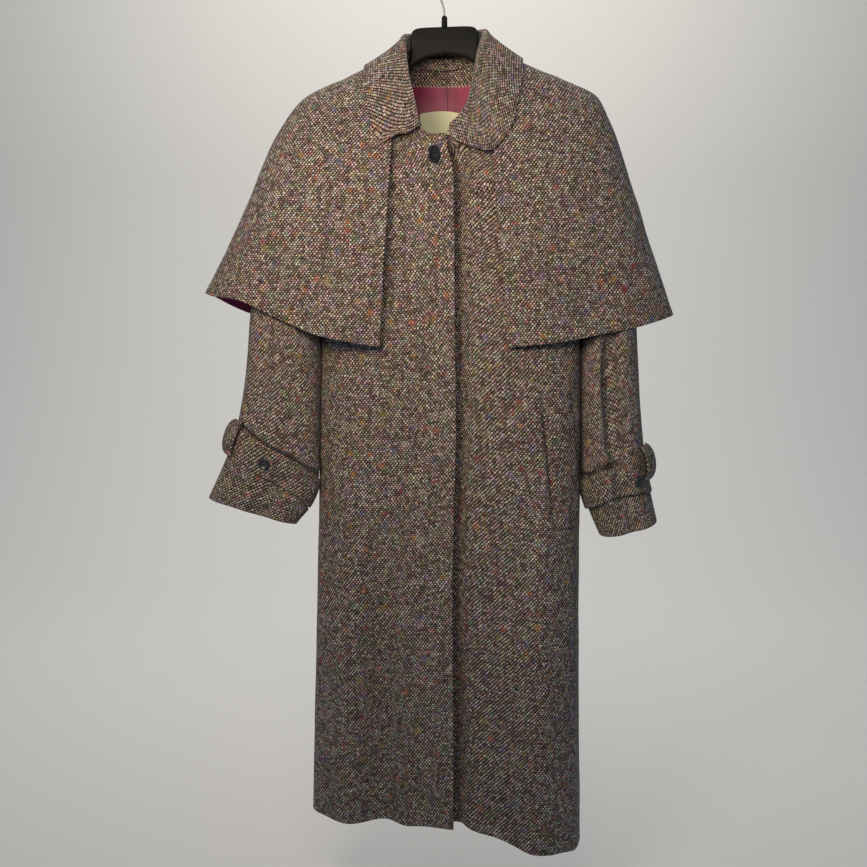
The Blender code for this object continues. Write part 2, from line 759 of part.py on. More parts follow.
def frame_on(out):
    """Two directions square to out, the second as near to up as can be."""
    across = np.cross(np.array([0.0, 0.0, 1.0]), out)
    across /= np.linalg.norm(across)
    return across, np.cross(out, across)


def make_button(name, seat, out, radius, paint):
    """A sewn-on button: a dish with a raised rim, turned about its own axis."""
    profile = [
        (0.0, 0.0),
        (0.55 * radius, 0.0),
        (radius, 0.30 * BUTTON_THICKNESS),
        (radius, 0.75 * BUTTON_THICKNESS),
        (0.90 * radius, BUTTON_THICKNESS),
        (0.72 * radius, 0.95 * BUTTON_THICKNESS),
        (0.60 * radius, 0.70 * BUTTON_THICKNESS),
        (0.0, 0.70 * BUTTON_THICKNESS),
    ]
    sides = 24
    across, up = frame_on(out)
    points = [seat + out * profile[0][1], seat + out * profile[-1][1]]
    for away, height in profile[1:-1]:
        for k in range(sides):
            turn = 2 * np.pi * k / sides
            points.append(seat + out * height + away * (across * np.cos(turn) + up * np.sin(turn)))
    bands = len(profile) - 2
    faces = []
    for k in range(sides):
        after = (k + 1) % sides
        faces.append([0, 2 + after, 2 + k])
        top = 2 + (bands - 1) * sides
        faces.append([1, top + k, top + after])
        for band in range(bands - 1):
            low = 2 + band * sides
            faces.append([low + k, low + after, low + sides + after, low + sides + k])
    face_outward(add_object(name, points, faces, paint))


def make_cuff_button(side, surface, unit, table, place, paint):
    angle = np.array([np.radians(place[0])])
    down = np.array([float(place[1])])
    lift = strap_row(table, angle)[0, 1] + STRAP_WALL + BUTTON_SHANK
    out = unit(angle, down)[0]
    make_button(f"button_cuff_{side}", surface(angle, down)[0] + out * lift, out, CUFF_BUTTON_RADIUS, paint)


def make_neck_button(paint):
    """The neck button, which hangs turned towards the left, with its near edge just clear of the cloth."""
    down = np.array([NECK_BUTTON_DOWN])
    angle = np.array([front_edge_angle(down[0], -NECK_BUTTON_INSET)])
    flat = normal(body, angle, down)[0]
    turn = np.radians(NECK_BUTTON_TURN)
    out = np.array(
        [
            flat[0] * np.cos(turn) - flat[1] * np.sin(turn),
            flat[0] * np.sin(turn) + flat[1] * np.cos(turn),
            flat[2],
        ]
    )
    seat = body(angle, down)[0] + flat * (NECK_BUTTON_RADIUS * np.sin(turn) + BUTTON_SHANK)
    make_button("button_neck", seat, out, NECK_BUTTON_RADIUS, paint)


def make_welt(tweed):
    """The left front's slanted welt pocket, its sides set by their way round from the middle of the front."""

    def edges(down):
        middle = front_edge_angle(down, -NECK_BUTTON_INSET)
        fine = np.linspace(middle, middle - np.radians(100), FINE)
        point = under_front(fine, np.full_like(fine, down))
        length = np.concatenate([[0.0], np.cumsum(np.linalg.norm(np.diff(point, axis=0), axis=1))])
        inner = np.interp(down, [WELT_TOP, WELT_FOOT], [WELT_INNER_TOP, WELT_INNER_FOOT])
        return np.interp([inner + WELT_WIDTH, inner], length, fine)

    panel(
        "pocket_welt_left",
        under_front,
        np.linspace(WELT_TOP, WELT_FOOT, 8),
        lambda d: edges(d)[0],
        lambda d: edges(d)[1],
        7,
        tweed,
        depth=-WELT_WALL - WELT_GAP,
        wall=WELT_WALL,
    )


def make_collar(tweed):
    """A one-piece collar: a stand on the neck seam, a rolled fold, and the fall over the cape."""
    at = np.linspace(0, 1, 41)
    read = smooth([row.along for row in COLLAR], [row[1:] for row in COLLAR], at)
    fold = read[:, :3]
    angle = np.radians(read[:, 3])
    reach = read[:, 4]
    sag = read[:, 5:] * np.array([0.0, 0.0, -1.0])
    seam = collar_seam(fold)
    rows = [seam, (seam + fold) / 2, fold]
    for share in COLLAR_FALL_STEPS:
        place = (angle % (2 * np.pi), share * reach)
        lying = cape(*place) + normal(cape, *place) * (COLLAR_REST + COLLAR_WALL)
        settled = ease(share, *COLLAR_SETTLE)
        roll = np.array([0.0, 0.0, 1.0]) * COLLAR_ROLL * hump(share, *COLLAR_ROLL_AT)
        rows.append(fold * (1 - settled) + lying * settled + roll + sag * hump(share, *COLLAR_SAG_AT))
    outer = np.stack(rows, axis=1)
    unit = np.cross(np.gradient(outer, axis=0), np.gradient(outer, axis=1))
    unit /= np.linalg.norm(unit, axis=-1, keepdims=True)
    wall_mesh("collar", outer, outer - unit * COLLAR_WALL, tweed)


def collar_seam(fold):
    """The collar's seam line: the body's neck ring at the angle of each fold point, a little in and up."""
    ring_middle = np.array([BODY[0].mid_x, BODY[0].mid_y])
    flat = fold[:, :2] - ring_middle
    angle = np.arctan2(-flat[:, 1] / BODY[0].front, flat[:, 0] / BODY[0].right)
    ring = body(angle, np.zeros_like(angle))
    towards = ring_middle - ring[:, :2]
    towards /= np.linalg.norm(towards, axis=1, keepdims=True)
    ring[:, :2] += towards * COLLAR_SEAM_INSET
    ring[:, 2] += COLLAR_SEAM_LIFT
    return ring


def hanger_outline():
    """The hanger's outline from its right tip along the top, then back along the lower edge."""
    top = [(-row.x, row.top) for row in reversed(HANGER)] + [(row.x, row.top) for row in HANGER[1:]]
    foot = [(row.x, row.foot) for row in reversed(HANGER)] + [(-row.x, row.foot) for row in HANGER[1:]]
    tilt = np.radians(HANGER_TILT)
    return [(x * np.cos(tilt), z + x * np.sin(tilt)) for x, z in top + foot]


def make_hanger(plastic, steel):
    outline = hanger_outline()
    count = len(outline)
    half = HANGER_THICKNESS / 2
    points = [(x, -half, z) for x, z in outline] + [(x, half, z) for x, z in outline]
    faces = [list(range(count)), list(range(2 * count - 1, count - 1, -1))]
    for k in range(count):
        after = (k + 1) % count
        faces.append([after, k, count + k, count + after])
    made = add_object("hanger_body", points, faces, plastic)
    face_outward(made)
    bevel = made.modifiers.new("rounded", "BEVEL")
    bevel.width = HANGER_EDGE_RADIUS * MM
    bevel.segments = 2
    bevel.limit_method = "ANGLE"
    make_hook(plastic, steel)


def hook_path():
    """The hook's wire from the boss up: out to the right side, over the top and down at the left."""
    middle_z = HOOK_WIRE_RADIUS - HOOK_RADIUS
    boss_top = HANGER[0].top + BOSS_HEIGHT
    path = [(x, boss_top + up) for x, up in HOOK_SHANK]
    for degrees in np.linspace(*HOOK_TURN, 24):
        turn = np.radians(degrees)
        path.append((HOOK_RADIUS * np.cos(turn), middle_z + HOOK_RADIUS * np.sin(turn)))
    return path


def make_hook(plastic, steel):
    curve = bpy.data.curves.new("hanger_hook", "CURVE")
    curve.dimensions = "3D"
    curve.bevel_depth = HOOK_WIRE_RADIUS * MM
    curve.bevel_resolution = 2
    curve.use_fill_caps = True
    path = hook_path()
    spline = curve.splines.new("POLY")
    spline.points.add(len(path) - 1)
    for place, (x, z) in zip(spline.points, path):
        place.co = (x * MM, 0.0, z * MM, 1.0)
    hook = bpy.data.objects.new("hanger_hook", curve)
    hook.data.materials.append(steel)
    bpy.context.scene.collection.objects.link(hook)
    top = HANGER[0].top
    ends = (top + SEAM_GAP, top + BOSS_HEIGHT)
    sides = 16
    turns = [2 * np.pi * k / sides for k in range(sides)]
    points = []
    for z in ends:
        points += [(BOSS_RADIUS * np.cos(t), BOSS_RADIUS * np.sin(t), z) for t in turns]
    faces = [list(range(sides)), list(range(2 * sides - 1, sides - 1, -1))]
    for k in range(sides):
        after = (k + 1) % sides
        faces.append([after, k, sides + k, sides + after])
    face_outward(add_object("hanger_boss", points, faces, plastic))


def main():
    clear_scene()
    tweed = material("tweed", TWEED, 0.95)
    trim_tweed = material("tweed_trim", TWEED_DARK, 0.95)
    satin = material("satin_lining", SATIN, 0.45)
    label_cloth = material("label_cloth", LABEL_CLOTH, 0.7)
    horn = material("button_horn", BUTTON_HORN, 0.3)
    plastic = material("hanger_plastic", BLACK_PLASTIC, 0.45)
    steel = material("hook_steel", STEEL, 0.3, metallic=1.0)
    make_body(tweed)
    make_neck_inside(tweed, satin, label_cloth)
    make_cape(tweed, satin)
    make_collar(tweed)
    sleeves = [
        ("right", SLEEVE_RIGHT, SLEEVE_RIGHT_FOLDS, STRAP_RIGHT, LOOP_RIGHT, BUTTON_ALONG_RIGHT),
        ("left", SLEEVE_LEFT, SLEEVE_LEFT_FOLDS, STRAP_LEFT, LOOP_LEFT, BUTTON_ALONG_LEFT),
    ]
    for side, table, folds, strap, loop, button in sleeves:
        surface, unit = make_sleeve(side, table, folds, tweed)
        make_strap(side, surface, unit, strap, trim_tweed)
        make_strap_loop(side, surface, unit, loop, trim_tweed)
        make_cuff_button(side, surface, unit, strap, button, horn)
    make_welt(trim_tweed)
    make_neck_button(horn)
    make_hanger(plastic, steel)


main()
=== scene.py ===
"""The looks of a full-length tweed cape coat that hangs on a plastic hanger.

The tables and surfaces follow the part's own, in millimetres: +Z up, the front faces -Y.
Right and left are the wearer's, so the right side is at -X.
Each cloth piece is a thin shell on one of those surfaces, with its creases pushed in or out.
"""

from collections import namedtuple

import bpy
import numpy as np
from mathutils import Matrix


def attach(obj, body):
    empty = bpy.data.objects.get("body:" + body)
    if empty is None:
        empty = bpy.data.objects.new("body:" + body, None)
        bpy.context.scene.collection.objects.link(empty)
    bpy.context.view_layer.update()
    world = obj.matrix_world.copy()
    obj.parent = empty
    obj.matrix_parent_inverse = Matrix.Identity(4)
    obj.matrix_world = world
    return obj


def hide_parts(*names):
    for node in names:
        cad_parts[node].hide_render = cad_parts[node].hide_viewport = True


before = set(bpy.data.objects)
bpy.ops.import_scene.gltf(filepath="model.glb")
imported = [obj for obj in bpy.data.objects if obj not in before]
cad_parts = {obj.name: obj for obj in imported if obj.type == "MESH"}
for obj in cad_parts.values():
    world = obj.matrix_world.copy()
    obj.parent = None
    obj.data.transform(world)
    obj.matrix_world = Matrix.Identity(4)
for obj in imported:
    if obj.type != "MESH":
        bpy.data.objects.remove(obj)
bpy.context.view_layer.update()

MM = 0.001
UP = np.array([0.0, 0.0, 1.0])
ROOT = "root"


def rows_of(fields, *rows):
    """A table of rows whose values have these names."""
    row_type = namedtuple("Row", fields)
    return [row_type(*row) for row in rows]


# Driving sizes in mm, which follow the part's
CLOTH_WALL = 2.5
LINING_WALL = 1.0
LABEL_WALL = 1.0
NECK_LAYER_GAP = 1.0
STRAP_WALL = 3.0
WELT_WALL = 2.5
WELT_GAP = 0.5
SEAM_GAP = 0.3
OVERLAP = 65.0
UNDER_FRONT_INSET = 6.0
UNDER_FRONT_EASE = (4.0, 80.0)
FACING_DEPTH = 51.0
LINING_END = 1141.0
COLLAR_WALL = 2.5
STRAP_WIDTH = 40.0
STRAP_TIP_SHARE = 0.62
STRAP_TIP_ANGLE = 16.0
NECK_BUTTON_RADIUS = 12.6
CUFF_BUTTON_RADIUS = 9.2
BUTTON_THICKNESS = 4.0
BUTTON_SHANK = 1.0
NECK_BUTTON_DOWN = 60.0
NECK_BUTTON_INSET = 24.0
NECK_BUTTON_TURN = 47.0
HANGER_THICKNESS = 10.0
HOOK_WIRE_RADIUS = 1.6
HOOK_RADIUS = 22.0
BOSS_RADIUS = 4.5
BOSS_HEIGHT = 17.0
BOSS_TOP = BOSS_HEIGHT - SEAM_GAP
# The boss's section, as pairs of a radius and a height
BOSS_PROFILE = [
    (0.0, 0.0), (4.4, 0.0), (BOSS_RADIUS, 0.4), (BOSS_RADIUS, 9.2), (4.2, 9.7), (3.9, 10.0), (4.0, 10.4),
    (4.4, 10.8), (BOSS_RADIUS, 11.4), (4.4, 13.2), (3.9, 14.8), (2.9, 16.0), (2.2, BOSS_TOP - 0.2),
    (1.2, BOSS_TOP), (0.0, BOSS_TOP),
]
BOSS_SIDES = 40
# The wire's way from the boss into the hook, as pairs of x and the height over the boss
HOOK_SHANK = [(0.0, SEAM_GAP), (-0.5, 6.0), (-3.5, 18.6), (-10.0, 30.6)]
HOOK_SHANK_POINTS = 16
HOOK_TURN = (210, -25)
HOOK_POINTS = 64
HOOK_SIDES = 16

# A button's section from its back to its sunk face, as shares of its radius and of its thickness
BUTTON_PROFILE = [
    (0.0, 0.0), (0.55, 0.0), (0.80, 0.10), (0.95, 0.26), (1.0, 0.45), (0.99, 0.68), (0.95, 0.86),
    (0.88, 0.97), (0.80, 1.0), (0.72, 0.95), (0.66, 0.84), (0.60, 0.74), (0.52, 0.70), (0.44, 0.70),
    (0.37, 0.70), (0.31, 0.70), (0.25, 0.70), (0.18, 0.70), (0.10, 0.70), (0.0, 0.70),
]
BUTTON_SIDES = 64
BUTTON_FACE = 0.70
BUTTON_FACE_LEAST = 0.6
# A button's holes: their way from its middle and their radius as shares of its radius, and their depth
HOLE_AWAY = 0.195
HOLE_RADIUS = 0.105
HOLE_DEPTH = 1.5
BUTTON_THREAD_POINTS = 7
BUTTON_THREAD_BOW = 0.5
BUTTON_THREAD_SUNK = 0.3
BUTTON_THREAD_RADIUS = 0.5
SHANK_RADIUS = 1.6
SHANK_SIDES = 10

# The buttonhole: a long ring of cord round a slit, a near-black tube that is painted shade in its opening
BUTTONHOLE_MIDDLE_X = -23.5
BUTTONHOLE_HALF = 14.0
BUTTONHOLE_HALF_WIDTH = 1.7
BUTTONHOLE_SQUARE = 1.25
BUTTONHOLE_CORD = 0.7
BUTTONHOLE_POINTS = 60
BUTTONHOLE_LIFT = 0.3
SLIT_SHARE = 0.9
SLIT_RADIUS = 1.0
SLIT_POINTS = 20

# The stitches along the neck facing's lower edge
STITCH_X = (-72, 76)
STITCH_COUNT = 27
STITCH_SHARES = (-1, -0.4, 0.4, 1)
STITCH_HALF = 2.1
STITCH_VARIES = (0.8, 2.3)
STITCH_SLANT = 1.6
STITCH_BELOW = 0.2
STITCH_LIFT = 0.25
STITCH_BOW = 0.3
STITCH_RADIUS = 0.7

# Tubes: sides of a thread and of a cord, how the ends close, and a way that no tube runs along
THREAD_SIDES = 6
CORD_SIDES = 8
TUBE_END_REACH = 0.6
TUBE_END_SHARE = 0.4
ODD_WAY = (0.31, 0.52, 0.79)
# A direction that rises more than this counts as upright
UPRIGHT = 0.9

# Body sections from the neck seam to the hem
BODY = rows_of(
    "down right_z left_z front_z back_z right left front back square twist mid_x mid_y",
    (0, -131, -123, -264, -129, 62, 64, 76, 66, 2.0, 2, 0, -10),
    (50, -162, -155, -290, -168, 110, 112, 80, 78, 2.1, 2, 0, -8),
    (100, -184, -178, -315, -207, 155, 158, 82, 84, 2.3, 2, 0, -6),
    (135, -207, -201, -337, -242, 186, 191, 84, 86, 2.5, 3, 1, -5),
    (180, -252, -247, -362, -279, 195, 202, 85, 86, 2.6, 3, 2, -4),
    (240, -320, -315, -392, -332, 197, 205, 86, 86, 2.7, 4, 3, -3),
    (330, -420, -418, -440, -422, 196, 205, 87, 84, 2.8, 4, 4, -3),
    (460, -560, -560, -562, -560, 197, 208, 88, 80, 3.0, 6, 4, -4),
    (600, -700, -700, -702, -700, 200, 210, 86, 76, 3.1, 8, 4, -6),
    (880, -985, -986, -985, -984, 209, 214, 78, 72, 3.3, 12, 2, -12),
    (1260, -1354, -1372, -1354, -1356, 220, 225, 64, 70, 3.5, 15, -2, -20),
)
BODY_FRONT_DROP = 4.0
BODY_LENGTH = 1260.0
BAND_NAMES = ("chest", "hip", "skirt")

# How far the front's hem is lifted, by x
HEM_X = [-225, -190, -130, -40, 10, 45, 80, 120, 160, 195, 225]
HEM_LIFT = [4, 2, 0, 3, 9, 14, 6, -3, -7, -3, 6]
HEM_LIFT_START = 1000.0

BODY_FOLDS = rows_of(
    "face across width depth start full",
    ("front", -0.40, 0.15, 27, 430, 1150),
    ("front", -0.66, 0.14, -10, 600, 1200),
    ("front", -0.10, 0.13, 9, 700, 1200),
    ("front", 0.46, 0.14, 8, 600, 1200),
    ("front", 0.80, 0.17, -27, 500, 1200),
    ("back", -0.45, 0.18, 14, 520, 1200),
    ("back", 0.10, 0.20, -8, 600, 1200),
    ("back", 0.55, 0.18, 12, 560, 1200),
)

ARMHOLE_TOP = 135.0
ARMHOLE_FOOT = 330.0
ARMHOLE_FRONT = np.radians(34)
ARMHOLE_BACK = np.radians(34)
SLEEVE_HEAD_INSET = 6.0
FRONT_EDGE_DOWN = [0, 40, 66, 115, 423, 620, 823, 1047, 1260]
FRONT_EDGE_X = [3.0, 4.1, 8.0, 13.4, 15.5, 17.8, 12.8, 14.7, 15.9]

CAPE = rows_of(
    "down right_z left_z front_z back_z right left front back square",
    (0, -124, -114, -258, -124, 68, 70, 86, 72, 2.0),
    (65, -160, -150, -300, -170, 127, 125, 93, 90, 2.1),
    (120, -182, -172, -334, -214, 177, 178, 98, 98, 2.2),
    (170, -207, -196, -366, -262, 222, 231, 103, 105, 2.2),
    (215, -242, -236, -393, -306, 249, 256, 107, 111, 2.2),
    (270, -288, -296, -428, -356, 274, 278, 111, 117, 2.2),
    (395, -408, -428, -502, -464, 327, 323, 119, 127, 2.2),
    (495, -498, -531, -580, -570, 374, 360, 125, 134, 2.2),
)
CAPE_SHIFT_Y = -8.0
CAPE_TOP = 20.0
CAPE_LENGTH = 495.0
CAPE_RIGHT_BACK_DROP = 3.6
CAPE_BACK_DROP_START = 270.0
# Beside the right tip the front's foot is drawn up and shows the lining of the back
CAPE_TIP_LIFT = 18.0
CAPE_TIP_ANGLE = (146.0, 15.0)
CAPE_TIP_REACH = 140.0
CAPE_EDGE_DOWN = [0, CAPE_LENGTH]
CAPE_RIGHT_EDGE_X = [-75.0, -99.0]
CAPE_LEFT_EDGE_X = [66.0, 94.0]
CAPE_FOLDS = rows_of(
    "angle width depth start full",
    (128, 9, 12, 150, 480),
    (150, 9, -7, 200, 480),
    (52, 9, 8, 200, 480),
    (222, 12, 12, 200, 480),
    (262, 12, -8, 200, 480),
    (310, 12, 11, 200, 480),
)

SLEEVE_FIELDS = "down outer_x outer_z inner_x inner_z mid_y front back square"
SLEEVE_RIGHT = rows_of(
    SLEEVE_FIELDS,
    (22, -209, -213, -203, -426, 0, 50, 56, 2.1),
    (70, -232, -252, -206, -437, 0, 48, 58, 2.2),
    (140, -256, -315, -207, -456, -1, 48, 60, 2.3),
    (215, -276, -385, -203, -490, -4, 50, 60, 2.3),
    (360, -302, -527, -195.5, -563, -16, 54, 62, 2.3),
    (465, -313, -635, -196.5, -640, -18, 50, 58, 2.3),
    (545, -327, -707, -199, -722, -18, 44, 52, 2.4),
    (610, -350, -768, -205, -792, -18, 38, 44, 2.5),
    (675, -374, -820, -236, -862, -18, 33, 38, 2.6),
)
SLEEVE_LEFT = rows_of(
    SLEEVE_FIELDS,
    (22, 215, -204, 214, -428, -4, 48, 56, 2.1),
    (70, 238, -244, 217, -438, -4, 46, 58, 2.2),
    (140, 256, -308, 218, -456, -6, 46, 60, 2.3),
    (215, 272, -380, 217, -490, -11, 49, 60, 2.3),
    (360, 296, -530, 212.5, -560, -28, 58, 62, 2.3),
    (490, 305, -667, 214.5, -680, -34, 56, 58, 2.3),
    (600, 317, -780, 222, -788, -38, 55, 56, 2.3),
    (640, 325, -815, 231, -832, -39, 54, 55, 2.3),
    (682, 334, -852, 246, -876, -40, 52, 53, 2.3),
)
SLEEVE_FOLD_FIELDS = "angle width depth start full end"
SLEEVE_RIGHT_FOLDS = rows_of(
    SLEEVE_FOLD_FIELDS,
    (70, 16, 7, 250, 420, 560),
    (105, 14, 9, 560, 640, 720),
    (250, 18, 8, 250, 420, 700),
)
SLEEVE_LEFT_FOLDS = rows_of(
    SLEEVE_FOLD_FIELDS,
    (92, 15, 17, 230, 420, 640),
    (250, 18, 8, 250, 420, 700),
)

COLLAR = rows_of(
    "along fold_x fold_y fold_z edge_angle edge_down sag",
    (0.00, -37.5, -87, -254, 122, 97, 20),
    (0.05, -40, -83, -238, 124, 102, 15),
    (0.11, -46, -72, -206, 127, 100, 5),
    (0.17, -53, -57, -173, 133, 95, 1),
    (0.24, -57, -32, -135, 147, 80, 0),
    (0.32, -57, 2, -108, 178, 58, 0),
    (0.40, -44, 38, -96, 222, 60, 0),
    (0.50, 1, 57, -92, 270, 62, 0),
    (0.60, 44, 38, -92, 318, 60, 0),
    (0.68, 58, 2, -100, 362, 57, 0),
    (0.76, 50, -34, -130, 396, 76, 0),
    (0.83, 42, -61, -172, 415, 95, 0),
    (0.89, 34, -79, -214, 424, 95, 0),
    (0.95, 22, -92, -240, 432, 66, 0),
    (1.00, 7, -95, -258, 446, 14, 0),
)
COLLAR_AROUND = 520.0
COLLAR_REST = 3.0
COLLAR_ROLL = 7.5
COLLAR_ROLL_AT = (0.12, 0.14)
COLLAR_SETTLE = (-0.06, 0.5)
COLLAR_SAG_AT = (0.35, 0.3)
COLLAR_FALL_STEPS = (0.10, 0.24, 0.42, 0.62, 0.82, 1.0)
COLLAR_SEAM_LIFT = 4.5
COLLAR_LEAST_REACH = 20.0
COLLAR_SEAM_INSET = 1.0

STRAP_FIELDS = "angle down lift"
STRAP_RIGHT = rows_of(
    STRAP_FIELDS,
    (6, 558, 2.0),
    (30, 562, 2.0),
    (60, 577, 2.5),
    (100, 600, 3.0),
    (140, 617, 2.5),
    (180, 629, 1.5),
    (200, 632, 1.5),
)
STRAP_LEFT = rows_of(
    STRAP_FIELDS,
    (28, 610, 2.5),
    (60, 602, 2.5),
    (100, 603, 3.0),
    (140, 614, 3.5),
    (176, 620, 3.0),
)
LoopPlace = namedtuple("LoopPlace", "angle half_angle down length lean")
LOOP_RIGHT = LoopPlace(23, 20, 561, 58, 3)
LOOP_LEFT = LoopPlace(26, 26, 578, 54, 0)
LOOP_LIFT = 13.0
LOOP_END_LIFT = 1.2
BUTTON_ALONG_RIGHT = (87, 590)
BUTTON_ALONG_LEFT = (62, 602)

WELT_TOP = 578.0
WELT_FOOT = 752.0
WELT_INNER_TOP = 156.0
WELT_INNER_FOOT = 184.0
WELT_WIDTH = 48.0
WELT_LINE_X = [-6.8, -4.6]
WELT_REACH = np.radians(100)

HANGER = rows_of(
    "x top foot",
    (0, -93, -133.5),
    (28, -93, -138),
    (42, -94, -145),
    (49, -98, -150.5),
    (52, -106, -153.5),
    (52.5, -139, -157),
    (62, -144, -162),
    (110, -169, -182),
    (150, -190, -203),
    (172, -206, -216),
)
HANGER_TILT = 2.0
HANGER_POINTS = 70
HANGER_ROUNDING = 2.2
HANGER_ROUND_TURNS = np.radians([90, 67.5, 45, 22.5, 0])
# The lip along the head's lower edge
LIP_POINTS = 34
LIP_UP = 2.6
LIP_SUNK = 0.1
LIP_RADIUS = 1.1

LABEL_DOWN = (99.0, 143.0)
LABEL_ARCH = 6.0
LABEL_HALF_WIDTH = 33.0
LABEL_MIDDLE_X = -4.0
LOOP_NECK_DOWN = (7.0, 18.0)
LOOP_NECK_HALF = 32.0
LOOP_NECK_BOW = 8.0

# Steps for a surface's normal, and points and angles where it is looked up
ANGLE_STEP = 1e-3
DOWN_STEP = 0.1
FINE = 401
FRONT_ANGLES = (np.radians(25), np.radians(155))
BACK_ANGLES = (np.radians(200), np.radians(340))
FOLD_FADE = 0.6

# Rows and columns of each cloth's grid
BODY_ROWS = 250
FRONT_RIGHT_COLUMNS = 58
FRONT_LEFT_COLUMNS = 112
BACK_COLUMNS = 86
FACING_GRID = (16, 60)
LINING_GRID = (150, 80)
LABEL_GRID = (14, 18)
NECK_LOOP_GRID = (10, 24)
CAPE_ROWS = 104
CAPE_LINING_ROWS = 80
CAPE_LINING_THIRDS = 2
CAPE_FRONT_COLUMNS = 66
CAPE_BACK_COLUMNS = 120
COLLAR_GRID = (34, 120)
SLEEVE_ROWS = 270
SLEEVE_SIDES = 112
STRAP_GRID = (14, 56)
KEEPER_GRID = (34, 15)
WELT_GRID = (44, 18)

# Creases, listed one by one as straight lines seen from in front: top, foot, half width and depth.
# A ridge has a negative depth. bow is how far the line's middle swings to +X.
CREASE_FIELDS = "top_x top_z foot_x foot_z width depth bow"
# The grooves along the pocket welt's sides
WELT_GROOVES = rows_of(
    CREASE_FIELDS,
    (148, -640, 174, -880, 5, 11.0, 0),
    (196, -640, 209, -840, 5, 11.0, 0),
)
BODY_FRONT_CREASES = rows_of(
    CREASE_FIELDS,
    (-150, -600, -172, -1120, 20, -2.2, 6),
    (-66, -575, -58, -930, 18, 1.6, -5),
    (-35, -880, -22, -1345, 15, 2.4, 4),
    (58, -620, 78, -1130, 22, 2.6, 8),
    (110, -760, 100, -1345, 20, -2.0, -6),
    (160, -930, 172, -1360, 14, 2.2, 5),
    (-186, -690, -196, -1240, 12, 1.8, 0),
    (128, -560, 150, -720, 16, 1.6, 6),
)
BODY_BACK_CREASES = rows_of(
    CREASE_FIELDS,
    (-120, -560, -138, -1180, 22, 2.6, 8),
    (-60, -640, -40, -1345, 20, -2.4, -8),
    (25, -590, 12, -1050, 18, 2.2, 6),
    (96, -700, 118, -1350, 22, 2.8, -8),
    (158, -600, 170, -1200, 16, -2.0, 5),
    (-172, -720, -186, -1330, 15, 2.0, 0),
)
CAPE_FRONT_CREASES = rows_of(
    CREASE_FIELDS,
    (-190, -315, -172, -505, 20, 4.0, -8),
    (-236, -300, -290, -500, 22, -2.4, 8),
    (-128, -330, -126, -540, 16, 1.6, 4),
    (150, -330, 168, -560, 20, 2.2, 8),
    (232, -330, 262, -530, 22, 2.8, -8),
    (292, -410, 330, -525, 16, -1.8, 0),
)
CAPE_BACK_CREASES = rows_of(
    CREASE_FIELDS,
    (-230, -300, -300, -520, 24, 3.4, 10),
    (-95, -300, -120, -560, 26, -2.8, -6),
    (10, -320, 22, -570, 22, 3.0, 6),
    (120, -290, 150, -560, 24, -2.4, 8),
    (226, -320, 282, -530, 22, 3.2, -8),
)
SLEEVE_RIGHT_CREASES = rows_of(
    CREASE_FIELDS,
    (-284, -500, -292, -690, 14, 2.2, 8),
    (-232, -520, -226, -700, 12, 2.6, -6),
    (-250, -610, -222, -655, 9, 2.0, 3),
    (-318, -800, -300, -850, 12, -1.6, 0),
    (-268, -800, -262, -855, 10, 1.8, 0),
)
SLEEVE_LEFT_CREASES = rows_of(
    CREASE_FIELDS,
    (246, -545, 264, -805, 10, 14.0, 0),
    (228, -560, 240, -810, 16, 5.0, 0),
    (286, -540, 292, -740, 11, 2.0, -5),
    (236, -540, 240, -720, 10, 2.2, 4),
    (258, -640, 286, -690, 9, 1.8, 3),
    (306, -790, 318, -850, 10, 2.2, 0),
)
SLEEVE_BACK_CREASES = rows_of(
    CREASE_FIELDS,
    (-270, -480, -286, -720, 14, 2.4, 6),
    (-236, -590, -262, -650, 10, 2.2, 3),
    (256, -500, 268, -740, 14, 2.4, -6),
    (288, -600, 262, -660, 10, 2.2, 3),
)

# The cloth's slight unevenness: waves across x and z with these lengths and heights.
UNEVEN = rows_of(
    "along_x along_z shift height",
    (97, 260, 0.4, 0.50),
    (61, -173, 2.1, 0.32),
    (-143, 118, 4.0, 0.42),
    (47, 83, 1.2, 0.16),
    (-39, 131, 5.3, 0.14),
)

# The over front's edge stands out a little, and the under front falls away below it.
FRONT_EDGE_LIFT = (3.0, 16.0)
UNDER_FRONT_DIP = (20.0, 17.0)
UNDER_FRONT_DIP_DOWN = (5.0, 60.0)
# How far the back laps the fronts at a seam in mm, and the most that its angle may grow for that
SIDE_LAP = 1.8
SIDE_LAP_ANGLE = 0.05
SIDE_LAP_POINTS = 40

# The sleeve near its strap: drawn in just above it, puffed out above that, and built up below it
Cinch = namedtuple("Cinch", "depth above width puff puff_above puff_width step starts ends")
CINCH_RIGHT = Cinch(10.0, 3.5, 4.5, 5.5, 17.0, 9.0, 0.86, (25, 50), (158, 182))
CINCH_LEFT = Cinch(10.0, 4.0, 5.0, 3.0, 18.0, 10.0, 0.0, (70, 100), (158, 180))
# The built-up cuff: how it rises below the strap, its fade over the foot, and the angles that it covers
STEP_RISE = (0.2, 2.6)
STEP_FADE = 26.0
STEP_STARTS = (12, 40)
STEP_ENDS = (200, 230)
SLEEVE_UNEVEN_DOWN = (0.0, 60.0)
# How far each sleeve bulges towards the body by its way down, and the middle and width of that in degrees
INNER_BULGE_DOWN = [330, 400, 520, 570, 605, 640, 690]
INNER_BULGE = {"right": [1.5, 3.6, 2.0, 3.3, 5.4, 5.6, 0], "left": [0, 1.0, 1.6, 5.2, 8.2, 4.4, 0]}
INNER_BULGE_ANGLE = (172.0, 34.0)
# How far each sleeve fills its strap's loop, and the middle and width of that in degrees
LOOP_FILL = {"right": 4.0, "left": 10.0}
LOOP_FILL_ANGLE = (4.0, 30.0)
# The body's sides swell a little where they face sideways, near this height
SIDE_FACING = (0.75, 1.0)
SIDE_BULGE = 1.5
SIDE_BULGE_Z = (-700.0, 170.0)
